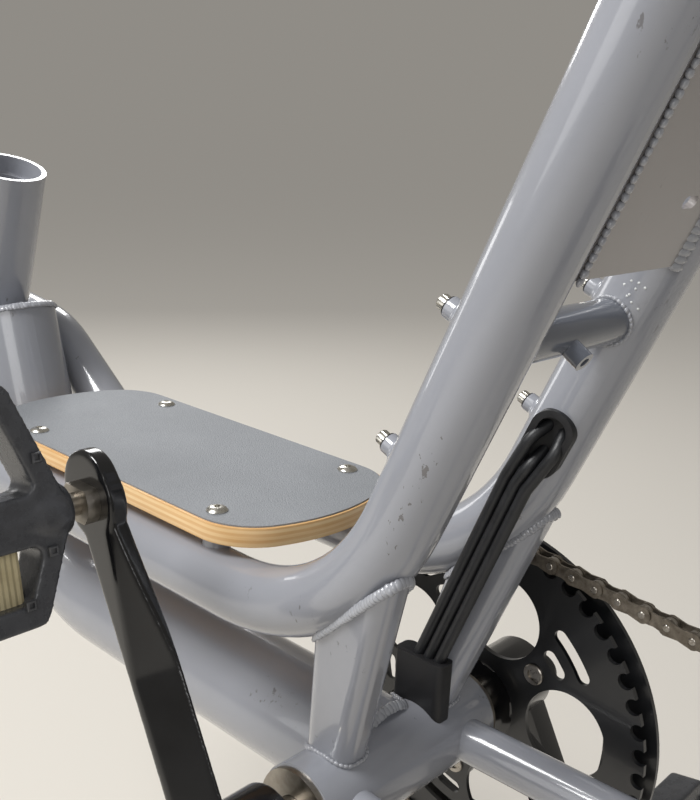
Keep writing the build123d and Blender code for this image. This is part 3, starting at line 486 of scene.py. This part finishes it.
# A turned shape about the local Z axis, closed on the axis. Its profile is (radius, height) pairs in
# millimetres, and a flute is a share of the radius, cut into every second segment between two heights.
def lathe(name, profile, segments=32, angle=35.0, flute=(0.0, 0.0, 0.0)):
    fluteDepth, fluteLow, fluteHigh = flute
    shape = bmesh.new()
    rings = []
    for radius, height in profile:
        ring = []
        for i in range(segments):
            turn = 2 * math.pi * i / segments
            fluted = i % 2 and fluteLow <= height <= fluteHigh
            reach = radius * (1 - (fluteDepth if fluted else 0)) * mm
            ring.append(shape.verts.new((reach * math.cos(turn), reach * math.sin(turn), height * mm)))
        rings.append(ring)
    for low, high in zip(rings, rings[1:]):
        for i in range(segments):
            shape.faces.new((low[i], low[(i + 1) % segments], high[(i + 1) % segments], high[i]))
    shape.faces.new(list(reversed(rings[0])))
    shape.faces.new(rings[-1])
    bmesh.ops.recalc_face_normals(shape, faces=shape.faces)
    piece = builtObject(name, shape)
    shadeSmooth(piece.data, angle)
    return piece


def turnedCopies(name, profile, places, material, body, **shape):  # one turned part on every place
    return placedCopies(name, lathe(name + "Shape", profile, **shape), places, material, body)


rimInset = 0.3  # how far inside a member's skin its generators run


# The rim of a node's end: rays along each generator of its outline, from beyond the end
def endRim(nodeName, lines):
    mesh = nodes[nodeName].data
    tree = BVHTree.FromPolygons([nodes[nodeName].matrix_world @ v.co for v in mesh.vertices],
                                [tuple(p.vertices) for p in mesh.polygons])
    points, outwards = [], []
    for start, direction, side in lines:
        hit = tree.ray_cast(start, direction, 400 * mm)[0]
        if hit is not None:
            points.append(hit + side * 0.2 * mm)
            outwards.append((side * 0.8 - direction * 0.6).normalized())  # out of the corner
    return points, outwards


def tubeLines(centre, axis, radius, count=48):  # generators of a round tube, just inside its skin
    first = axis.orthogonal().normalized()
    second = axis.cross(first)
    lines = []
    for i in range(count):
        turn = 2 * math.pi * i / count
        side = first * math.cos(turn) + second * math.sin(turn)
        lines.append((centre + side * (radius - rimInset) * mm, axis, side))
    return lines


# Struts, as in the model: tapered box tubes with rounded corners, leaning back and spreading upward.
# Heights are above the rise's corner.
strut = {
    "width": 20.0,
    "lowHeight": -85.3,
    "lowDepth": 24.5,
    "highHeight": 60.0,
    "highDepth": 42.8,
    "corner": 8.0,
    "leanSlope": math.tan(math.radians(18.1)),
    "toeSlope": math.tan(math.radians(10.1)),
    "rearX": -21.0,
    "middleY": 46.5,
}


def strutOutline(side, height, depth):  # points just inside the level section, and their outward directions
    middle = Vector((strut["rearX"] - strut["leanSlope"] * height + depth / 2,
                     side * (strut["middleY"] + strut["toeSlope"] * height), height))
    radius = strut["corner"] - rimInset
    halfX = depth / 2 - strut["corner"]
    halfY = strut["width"] / 2 - strut["corner"]
    outline = []
    for cornerX, cornerY, start in ((1, 1, 0), (-1, 1, 90), (-1, -1, 180), (1, -1, 270)):
        for step in range(10):
            turn = math.radians(start + step * 10)
            normal = Vector((math.cos(turn), math.sin(turn), 0))
            place = middle + Vector((cornerX * halfX, cornerY * halfY, 0)) + normal * radius
            outline.append((rise["corner"] + place * mm, normal))
    return outline


def strutLines(side, end):  # generators of a strut, from 20 mm beyond its top or its foot
    low = strutOutline(side, strut["lowHeight"], strut["lowDepth"])
    high = strutOutline(side, strut["highHeight"], strut["highDepth"])
    lines = []
    for (lowPoint, normal), (highPoint, normal) in zip(low, high):
        start, goal = (highPoint, lowPoint) if end == "Top" else (lowPoint, highPoint)
        along = (goal - start).normalized()
        lines.append((start - along * 20 * mm, along, normal))
    return lines


# Joints of the frame, where the beads lie
weldPlaces = {
    "plateFrom": 187.0,         # up the rise, the gusset plate's lower edge
    "plateLength": 95.0,
    "plateBeads": ((-13.0, 35.4, -1), (-9.5, 36.6, 1)),  # front, y, and the plate's rear or front face
    "crossTubeUp": 153.8,
    "crossTubeRadius": 9.525,
    "seatBridgeUps": (325.0, 385.0),
    "seatBridgeRadius": 11.0,
    "stayTopUp": 350.0,
    "stayRadius": 9.5,
    "stayFootY": 94.0,
    "stayStraight": 125.0,      # from the axle to the stay's bend
    "lowerTubeRadius": 30.0,
    "lowerTubeDrop": 4.0,       # its middle below the crank centre
    "lowerTubeCorner": 297.0,   # its front corner ahead of the crank centre
    "lowerTubeRise": math.radians(72.0),
}


def plateEdge(side, front, y, face):  # the path of a bead along one edge of the gusset plate
    steps = 24
    out = (riseFront * face - acrossLeft * side * 0.45).normalized()
    path = [onRise(weldPlaces["plateFrom"] + step * weldPlaces["plateLength"] / steps, side * y, front)
            for step in range(steps + 1)]
    return path, [out] * len(path)


def stayTop(side):  # generators of a seat stay's straight upper run, from beyond its top
    axleEnd = axleCentre + acrossLeft * side * weldPlaces["stayFootY"] * mm
    top = onRise(weldPlaces["stayTopUp"], side * rise["y"])
    upward = Vector((top.x - axleEnd.x, 0, top.z - axleEnd.z)).normalized()
    bend = axleEnd + upward * weldPlaces["stayStraight"] * mm
    along = (bend - top).normalized()
    return tubeLines(top - along * 40 * mm, along, weldPlaces["stayRadius"])


# the same grey enamel over the ripples
weldEnamel = enamel("weldGreyEnamel", "#A1A3A8", "#94959B", 0.0)
for side, name in bothSides:
    for end in ("Top", "Low"):
        weldBead(f"strut{end}Weld_{name}", endRim(f"strut_{name}", strutLines(side, end)), height=1.3)
    for front, y, face in weldPlaces["plateBeads"]:  # long ripples that stand apart
        weldBead(f"gussetWeld_{name}_{face + 1}", plateEdge(side, front, y, face), closed=False,
                 width=7.2, pitch=3.1, height=1.4, ripple=0.66)
    inward = -acrossLeft * side
    tubeEnd = onRise(weldPlaces["crossTubeUp"], side * rise["y"])
    lines = tubeLines(tubeEnd, inward, weldPlaces["crossTubeRadius"])
    weldBead(f"crossTubeWeld_{name}", endRim("cross_tube", lines), width=4.2)
    for up in weldPlaces["seatBridgeUps"]:
        lines = tubeLines(onRise(up, side * rise["y"]), inward, weldPlaces["seatBridgeRadius"])
        weldBead(f"seatBridgeWeld_{name}_{int(up)}", endRim("seat_sleeve", lines), width=4.2)
    weldBead(f"seatstayWeld_{name}", endRim(f"seatstay_{name}", stayTop(side)), width=4.6)
lowerUp = Vector((math.cos(weldPlaces["lowerTubeRise"]), 0, math.sin(weldPlaces["lowerTubeRise"])))
lowerMiddle = crankCentre - upright * weldPlaces["lowerTubeDrop"] * mm
behindShell = lowerMiddle - straightAhead * 50 * mm
aboveHead = lowerMiddle + straightAhead * weldPlaces["lowerTubeCorner"] * mm + lowerUp * 300 * mm
shellLines = tubeLines(behindShell, straightAhead, weldPlaces["lowerTubeRadius"], 72)
headLines = tubeLines(aboveHead, -lowerUp, weldPlaces["lowerTubeRadius"], 72)
weldBead("lowerTubeHeadWeld", endRim("lower_tube", headLines), width=6.0, pitch=2.4)
weldBead("lowerTubeShellWeld", endRim("lower_tube", shellLines), width=6.0, pitch=2.4)
print("welds laid")

# Chain: waisted inner and outer plates, rollers and pins, on the modelled path about both toothed wheels
chain = {
    "pitch": 12.7,
    "links": 106,
    "ringTeeth": 48,
    "sprocketTeeth": 24,
    "centreDistance": 441.834,
    "axleDrop": 10.0,
    "lineY": -75.0,
    "plateEnd": 4.2,       # half the height of a plate at its pins
    "plateWaist": 3.1,
    "innerPlateY": 2.12,   # middle of the chain to the middle of a plate
    "outerPlateY": 3.15,
    "plateHalf": 0.48,
    "roller": ((3.55, -1.55), (3.85, -1.2), (3.85, 1.2), (3.55, 1.55)),
    "pin": ((1.4, -4.1), (1.8, -3.8), (1.8, 3.8), (1.4, 4.1)),
}


def chainStations():  # the rollers' middles, from the top of the ring to the rear and round
    ringR = chain["ringTeeth"] * chain["pitch"] / (2 * math.pi)
    sprocketR = chain["sprocketTeeth"] * chain["pitch"] / (2 * math.pi)
    span = chain["centreDistance"]
    axleX = -math.sqrt(span ** 2 - chain["axleDrop"] ** 2)
    axleZ = -chain["axleDrop"]
    lean = math.asin((ringR - sprocketR) / span)
    drive = math.atan2(axleZ, axleX) % (2 * math.pi)
    top = drive - (math.pi / 2 - lean)
    low = drive + (math.pi / 2 - lean)
    straight = span * math.cos(lean)
    wrap = sprocketR * (math.pi - 2 * lean)
    places = []
    for link in range(chain["links"]):
        station = link * chain["pitch"]
        if station < straight:                    # upper run, share is the way from ring to sprocket
            share, angle = station / straight, top
        elif station < straight + wrap:           # round the sprocket
            share, angle = 1.0, top + (station - straight) / sprocketR
        elif station < 2 * straight + wrap:       # lower run
            share, angle = 1 - (station - straight - wrap) / straight, low
        else:                                     # round the ring
            share, angle = 0.0, low + (station - 2 * straight - wrap) / ringR
        radius = ringR + (sprocketR - ringR) * share
        place = Vector((axleX * share + radius * math.cos(angle), chain["lineY"],
                        axleZ * share + radius * math.sin(angle)))
        places.append(crankCentre + place * mm)
    return places


def platePair(name, offset):  # two waisted plates, standing along X about the link's middle
    shape = bmesh.new()
    half = chain["pitch"] / 2
    outline = []
    for end in (1, -1):
        for step in range(9):
            turn = math.radians(-80 + step * 20)
            outline.append((end * (half + chain["plateEnd"] * math.cos(turn)),
                            end * chain["plateEnd"] * math.sin(turn)))
        outline.append((0.0, end * chain["plateWaist"]))
    for side in (-1, 1):
        low, high = ([shape.verts.new((x * mm, y * mm, z * mm)) for x, z in outline]
                     for y in (side * offset - chain["plateHalf"], side * offset + chain["plateHalf"]))
        shape.faces.new(low)
        shape.faces.new(list(reversed(high)))
        count = len(outline)
        for i in range(count):
            shape.faces.new((low[i], high[i], high[(i + 1) % count], low[(i + 1) % count]))
    bmesh.ops.recalc_face_normals(shape, faces=shape.faces)
    piece = builtObject(name, shape)
    shadeSmooth(piece.data, 40)
    return piece


stations = chainStations()
innerPlaces, outerPlaces = [], []
for index, place in enumerate(stations):
    following = stations[(index + 1) % len(stations)]
    ahead = (following - place).normalized()
    places = outerPlaces if index % 2 else innerPlaces
    places.append(((place + following) / 2, ahead.cross(acrossLeft), ahead))
pinPlaces = [(place, acrossLeft, upright) for place in stations]
innerLinks = placedCopies("chainInnerPlates", platePair("innerPlates", chain["innerPlateY"]), innerPlaces,
                          chainPlateSteel, "frame")
outerLinks = placedCopies("chainOuterPlates", platePair("outerPlates", chain["outerPlateY"]), outerPlaces,
                          chainPlateSteel, "frame")
rollers = turnedCopies("chainRollers", chain["roller"], pinPlaces, chainRollerSteel, "frame", segments=14)
pins = turnedCopies("chainPins", chain["pin"], pinPlaces, chainRollerSteel, "frame", segments=10)
for piece in (innerLinks, outerLinks, rollers, pins):
    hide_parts("chain")
print("chain linked")

# Cage bolts on the bosses of both rises: a dark washer, a fluted zinc head, and the boss's flared foot
cageBolt = {
    "ups": (94.2, 156.8),
    "front": 20.9,           # the boss's end, from the tube's middle
    "washer": ((3.9, 0.0), (4.1, 0.2), (4.1, 0.8), (3.8, 1.0)),
    "head": ((3.0, 1.0), (3.15, 1.3), (3.15, 4.1), (2.8, 4.7), (1.6, 4.8), (1.5, 3.2), (0.2, 3.1)),
    "flute": (0.09, 1.2, 4.2),
    "foot": ((7.4, -7.2), (7.0, -6.3), (5.4, -5.2), (4.6, -4.0), (4.15, -2.6), (4.05, -1.0)),
}
bossPlaces = [(onRise(up, side * rise["y"], cageBolt["front"]), riseFront, riseUp)
              for side in (1, -1) for up in cageBolt["ups"]]
turnedCopies("cageWashers", cageBolt["washer"], bossPlaces, blackRubber, "frame", segments=28)
turnedCopies("cageBolts", cageBolt["head"], bossPlaces, zincBolt, "frame", angle=30, flute=cageBolt["flute"])
turnedCopies("bossFeet", cageBolt["foot"], bossPlaces, greyEnamel, "frame")

# Deck bolts: flat button heads through the grip sheet
deckBolt = {
    "xs": (76.6, 238.0),     # from the crank centre, as is top
    "ys": (45.5, -45.5),
    "top": 116.9 + 0.8,      # the board's top and the sheet on it
    "profile": ((2.9, -6.0), (2.9, 0.0), (5.4, 0.05), (5.4, 0.5), (4.6, 1.4), (3.2, 2.0), (1.8, 2.2),
                (1.6, 0.9), (0.2, 0.8)),
}
deckPlaces = [(crankCentre + Vector((x, y, deckBolt["top"])) * mm, upright, straightAhead)
              for x in deckBolt["xs"] for y in deckBolt["ys"]]
turnedCopies("deckBolts", deckBolt["profile"], deckPlaces, zincBolt, "frame")


# Bolts on a circle about the crank centre or the rear axle
ringBolt = {
    "count": 5, "radius": 46.0, "start": 138.4, "y": -73.75, "segments": 28,
    "profile": ((5.6, -0.2), (5.6, 0.9), (5.1, 1.4), (3.0, 1.5), (2.8, 0.4), (0.2, 0.3)),
}
guardScrew = {
    "count": 5, "radius": 76.5, "start": 123.0, "y": -86.35, "segments": 24,
    "profile": ((3.9, -0.1), (3.9, 0.6), (3.2, 1.5), (1.7, 1.8), (1.5, 0.6), (0.2, 0.5)),
}
coverScrew = {
    "count": 6, "radius": 50.0, "start": 15.0, "segments": 20,
    "ys": ((60.0, 1), (-56.0, -1)),  # the hub's two covers and the way that they face
    "profile": ((3.4, -0.2), (3.4, 0.8), (2.8, 1.6), (1.5, 1.8), (1.3, 0.7), (0.2, 0.6)),
}
crankBolt = {
    "segments": 36,
    "profile": ((8.0, -0.3), (8.0, 0.6), (7.2, 1.4), (4.4, 1.6), (4.1, -0.1), (0.2, -0.2)),
}


def boltCircle(name, bolt, centre, y, facing, material, body):
    places = []
    for step in range(bolt["count"]):
        turn = math.radians(bolt["start"] + step * 360 / bolt["count"])
        spot = Vector((bolt["radius"] * math.cos(turn), y, bolt["radius"] * math.sin(turn)))
        places.append((centre + spot * mm, acrossLeft * facing, upright))
    turnedCopies(name, bolt["profile"], places, material, body, segments=bolt["segments"])


boltCircle("ringBolts", ringBolt, crankCentre, ringBolt["y"], 1, chainRollerSteel, "crankset")
boltCircle("guardScrews", guardScrew, crankCentre, guardScrew["y"], -1, zincBolt, "crankset")
spindleEnds = [(crankCentre + acrossLeft * side * crank["faceY"] * mm, acrossLeft * side, upright)
               for side in (1, -1)]
turnedCopies("crankBolts", crankBolt["profile"], spindleEnds, crankLacquer, "crankset",
             segments=crankBolt["segments"])
for y, facing in coverScrew["ys"]:
    boltCircle(f"hubCoverScrews_{facing + 1}", coverScrew, axleCentre, y, facing, zincBolt, "rear_hub")

# Seat clamp bolt across the slit
clampBolt = {
    "up": 412.0,
    "front": -24.5,
    "profile": ((2.5, -11.0), (2.5, 7.0), (4.2, 7.05), (4.2, 10.4), (3.8, 11.0), (2.0, 11.0), (1.9, 8.6),
                (0.2, 8.5)),
}
clampPlace = (onRise(clampBolt["up"], 0.0, clampBolt["front"]), acrossLeft, riseUp)
turnedCopies("clampBolt", clampBolt["profile"], [clampPlace], zincBolt, "frame", segments=28)

# Dried water spots on the right rise, under the gusset plate
waterSpot = {
    "places": ((170.7, 86), (173.5, 93), (174.3, 104), (171.5, 104), (173.6, 115), (168.3, 100), (167.2, 98),
               (165.9, 108), (164.6, 121), (162.0, 104), (160.5, 111)),  # up, degrees from the front
    "profile": ((0.55, -0.1), (0.5, 0.12), (0.32, 0.24), (0.1, 0.27)),
}
spotPlaces = [(*onRiseSkin(-1, up, turn), riseUp) for up, turn in waterSpot["places"]]
turnedCopies("waterSpots", waterSpot["profile"], spotPlaces, driedWater, "frame", segments=10)
print("bolts set")

# A casting: a modelled node and a further shape grown together, their corners rounded off
def grownTogether(name, nodeName, extra, voxel, rounds, material, body, reshape=None):
    shape = bmesh.new()
    shape.from_mesh(nodes[nodeName].data)
    shape.from_mesh(extra.data)
    bpy.data.objects.remove(extra)
    bmesh.ops.remove_doubles(shape, verts=shape.verts, dist=mergeGap)
    source = builtObject(name + "Raw", shape)
    remesh = source.modifiers.new("remesh", "REMESH")
    remesh.mode = "VOXEL"
    remesh.voxel_size = voxel * mm
    smooth = source.modifiers.new("rounding", "SMOOTH")
    smooth.factor = 0.5
    smooth.iterations = rounds
    piece = baked(source, name, material)
    if reshape:
        for vertex in piece.data.vertices:
            vertex.co = reshape(vertex.co)
    piece.data.shade_smooth()
    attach(piece, body)
    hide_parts(nodeName)


# Pedals: rounded bars, a swelling barrel, square-headed screws and a ribbed pale strip in the lower window.
# Out is along the pedal's axle from its inner face, up and rear are across the pedal.
pedal = {
    "tilt": math.radians(79.0),
    "innerY": 128.0,
    "halfThickness": 10.0,
    "barrel": ((10.0, 0.6), (11.2, 1.4), (12.4, 5.0), (13.0, 9.0), (12.4, 14.0), (11.2, 19.0), (10.4, 26.0),
               (9.6, 36.0), (9.2, 48.0)),
    "voxel": 1.05,
    "roundings": 7,
    "screws": ((14.3, 25.0), (12.5, -13.6), (25.1, -32.4), (88.6, 44.0), (88.6, -32.0)),  # out, up
    "screwProfile": ((2.9, -0.3), (2.9, 1.5), (2.5, 2.0), (1.5, 2.0), (1.4, 1.0), (0.2, 0.9)),
    "strip": (24.0, 82.0, -33.6, -10.4),  # out from and to, up from and to
    "stripHalf": 3.6,
    "ribs": 23,
    "ribHeight": 0.5,
}
pedalUp = Vector((math.cos(pedal["tilt"]), 0, math.sin(pedal["tilt"])))
pedalRear = Vector((-math.sin(pedal["tilt"]), 0, math.cos(pedal["tilt"])))


def onPedal(side, out, up, rear):  # a place on one pedal, in millimetres
    eye = crankCentre + crankDir * side * crank["reach"] * mm
    return (eye + acrossLeft * side * (pedal["innerY"] + out) * mm + pedalUp * up * mm
            + pedalRear * rear * mm)


def pedalStrip(side, name):  # a slab whose broad faces carry upright ribs
    outFrom, outTo, upFrom, upTo = pedal["strip"]
    shape = bmesh.new()
    steps = 2 * pedal["ribs"]
    rows = []
    for face in (1, -1):
        for up in (upFrom, upTo):
            row = []
            for step in range(steps + 1):
                out = outFrom + (outTo - outFrom) * step / steps
                depth = pedal["stripHalf"] + (pedal["ribHeight"] if step % 2 else 0.0)
                row.append(shape.verts.new(onPedal(side, out, up, face * depth)))
            rows.append(row)
    for low, high in ((rows[0], rows[1]), (rows[3], rows[2]), (rows[1], rows[3]), (rows[2], rows[0])):
        for i in range(steps):
            shape.faces.new((low[i], low[i + 1], high[i + 1], high[i]))
    for end in (0, -1):
        shape.faces.new((rows[0][end], rows[1][end], rows[3][end], rows[2][end]))
    bmesh.ops.recalc_face_normals(shape, faces=shape.faces)
    piece = builtObject(name, shape)
    piece.data.materials.append(creamInsert)
    return piece


def standOn(piece, place, sideways, axis):  # moves a turned shape's mesh so that it stands on the place
    turned = Matrix((sideways, axis.cross(sideways), axis)).transposed().to_4x4()
    piece.data.transform(Matrix.Translation(place) @ turned)


for side, name in bothSides:
    body = f"pedal_{name}"
    barrel = lathe(f"pedalBarrel_{name}", pedal["barrel"], 48, 50)
    standOn(barrel, onPedal(side, 0, 0, 0), pedalUp, acrossLeft * side)
    grownTogether(f"pedalCage_{name}", body, barrel, pedal["voxel"], pedal["roundings"], moldedNylon, body)
    screwPlaces = [(onPedal(side, out, up, face * pedal["halfThickness"]), pedalRear * face,
                    (pedalUp + acrossLeft).normalized()) for out, up in pedal["screws"] for face in (1, -1)]
    turnedCopies(f"pedalScrews_{name}", pedal["screwProfile"], screwPlaces, screwSteel, body,
                 segments=4, angle=20)
    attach(pedalStrip(side, f"pedalStrip_{name}"), body)
print("pedals dressed")

# Left crank: forged in one with a long rounded eye, thinner towards the eye
leftCrank = {
    "eyeBeyond": 5.5,        # the eye's middle past the pedal axle
    "eye": ((15.2, 0.0), (16.4, 1.4), (16.4, 12.6), (15.2, 14.0)),
    "voxel": 0.9,
    "roundings": 10,
    "thinFrom": 80.0,        # along the arm, from the crank centre
    "thinTo": 168.0,
    "thinShare": 0.40,       # how far the outer face sinks, as a share of the depth under it
}


def thinTowardsEye(place):
    along = (place - crankCentre).dot(crankDir) / mm
    share = (along - leftCrank["thinFrom"]) / (leftCrank["thinTo"] - leftCrank["thinFrom"])
    share = min(1.0, max(0.0, share))
    share = share * share * (3 - 2 * share) * leftCrank["thinShare"]
    depth = crank["faceY"] * mm - place.y
    return Vector((place.x, place.y + depth * share, place.z))


eye = lathe("crankEye", leftCrank["eye"], 64, 60)
eyeReach = crank["reach"] + leftCrank["eyeBeyond"]
eyePlace = crankCentre + crankDir * eyeReach * mm + acrossLeft * crank["faceY"] * mm
standOn(eye, eyePlace, crankDir, -acrossLeft)
grownTogether("crankArm_left", "crank_left", eye, leftCrank["voxel"], leftCrank["roundings"], crankLacquer,
              "crankset", thinTowardsEye)
print("left crank forged")

# Rounded edges where they catch the light
roundedEdges = {
    "segments": 3,
    "fromAngle": 38.0,       # an edge is rounded where its faces turn by more than this, in degrees
    "widths": (              # node, width, body
        ("crank_right", 1.0, "crankset"), ("dropout_left", 1.0, "frame"), ("dropout_right", 1.0, "frame"),
        ("deck_board", 1.2, "frame"), ("cable_port", 0.8, "frame"), ("cable_boot", 1.4, "frame"),
        ("seat_clamp", 0.8, "frame"),
    ),
}


def softened(nodeName, width, body):  # a modelled node with its edges rounded, in place of the plain one
    shape = bmesh.new()
    shape.from_mesh(nodes[nodeName].data)
    bmesh.ops.remove_doubles(shape, verts=shape.verts, dist=mergeGap)
    bmesh.ops.dissolve_limit(shape, angle_limit=math.radians(1.5), verts=shape.verts, edges=shape.edges)
    source = builtObject(nodeName + "Plain", shape)
    bevel = source.modifiers.new("bevel", "BEVEL")
    bevel.width = width * mm
    bevel.segments = roundedEdges["segments"]
    bevel.limit_method = "ANGLE"
    bevel.angle_limit = math.radians(roundedEdges["fromAngle"])
    bevel.use_clamp_overlap = True
    piece = baked(source, nodeName + "Soft", nodes[nodeName].data.materials[0])
    shadeSmooth(piece.data, 40.0)
    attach(piece, body)
    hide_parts(nodeName)


for nodeName, width, body in roundedEdges["widths"]:
    softened(nodeName, width, body)
print("edges rounded")

# Camera at the photograph's viewing angle
view = {
    "lens": 45.0,
    "sensorWidth": 36.0,
    "place": (-0.63968, 0.33374, 0.10951),
    "right": Vector((-0.72829861, -0.68365411, 0.04688495)),
    "down": Vector((-0.21615379, 0.16426502, -0.96244197)),
    "forward": Vector((0.65027584, -0.71107951, -0.26740841)),
}
cameraData = bpy.data.cameras.new("camera")
cameraData.lens = view["lens"]
cameraData.sensor_width = view["sensorWidth"]
cameraData.clip_start = 0.01
camera = linked("camera", cameraData)
turned = Matrix((view["right"], -view["down"], -view["forward"])).transposed().to_4x4()
camera.matrix_world = Matrix.Translation(view["place"]) @ turned
bpy.context.scene.camera = camera


# Floor, soft lamps and world
def seenDirectly(tree):  # one for what the camera sees, also in a mirror or through glass
    path = addNode(tree, "ShaderNodeLightPath").outputs
    straight = addNode(tree, "ShaderNodeMath", {"operation": "ADD"},
                       {0: path["Is Camera Ray"], 1: path["Is Glossy Ray"]})
    return addNode(tree, "ShaderNodeMath", {"operation": "ADD", "use_clamp": True},
                   {0: straight, 1: path["Is Transmission Ray"]})


studio = {
    "floorHeight": -0.54,
    "floorReach": 60.0,
    "floorColour": srgb("#CBC6BD"),
    "worldColour": srgb("#F4F4F6"),
    "worldStrength": 0.27,
    "floorGlow": 0.22,       # the floor's own faint tone, seen but casting no light
    "aim": Vector((-0.4, 0, -0.1)),
    "lamps": (               # name, place, size in metres, power in watts
        ("keyLamp", (0.25, 1.25, 1.8), 0.9, 54.0),
        ("sideLamp", (0.5, 2.0, 0.6), 1.2, 7.0),
        ("rearLamp", (-1.5, 1.3, 0.7), 0.9, 7.0),
        ("rimLamp", (1.5, -1.2, 1.05), 0.8, 15.0),
        ("frontLamp", (1.7, -0.15, 0.1), 0.5, 2.2),
    ),
}
reach = studio["floorReach"]
corners = [(x * reach, y * reach, studio["floorHeight"]) for x, y in ((-1, -1), (1, -1), (1, 1), (-1, 1))]
floor = meshObject("floor", corners, faces=[(0, 1, 2, 3)])
floorMaterial, tree = newMaterial("paleFloor")[:2]
glow = addNode(tree, "ShaderNodeMath", {"operation": "MULTIPLY"},
               {0: seenDirectly(tree), 1: studio["floorGlow"]})
floor.data.materials.append(surfaced(floorMaterial, {
    "Base Color": studio["floorColour"], "Roughness": 1.0, "Specular IOR Level": 0.0,
    "Emission Color": studio["floorColour"], "Emission Strength": glow}))

for name, spot, size, power in studio["lamps"]:
    lampData = bpy.data.lights.new(name, "AREA")
    lampData.size = size
    lampData.energy = power
    lamp = linked(name, lampData)
    lamp.location = spot
    lamp.rotation_euler = (studio["aim"] - Vector(spot)).to_track_quat("-Z", "Y").to_euler()

# behind the floor's far end the camera sees the tone that the floor has there
world = bpy.data.worlds.new("paleStudio")
bpy.context.scene.world = world
world.use_nodes = True
tree = world.node_tree
tree.nodes.clear()
farTone = [floorPart * (worldPart * studio["worldStrength"] + studio["floorGlow"])
           for worldPart, floorPart in zip(studio["worldColour"], studio["floorColour"])]
sky = addNode(tree, "ShaderNodeBackground",
              inputs={"Color": studio["worldColour"], "Strength": studio["worldStrength"]})
seen = addNode(tree, "ShaderNodeBackground", inputs={"Color": farTone, "Strength": 1.0})
both = addNode(tree, "ShaderNodeMixShader", inputs={0: seenDirectly(tree), 1: sky, 2: seen})
addNode(tree, "ShaderNodeOutputWorld", inputs={"Surface": both})
bpy.context.scene.view_settings.view_transform = "Standard"
print("camera and light placed")
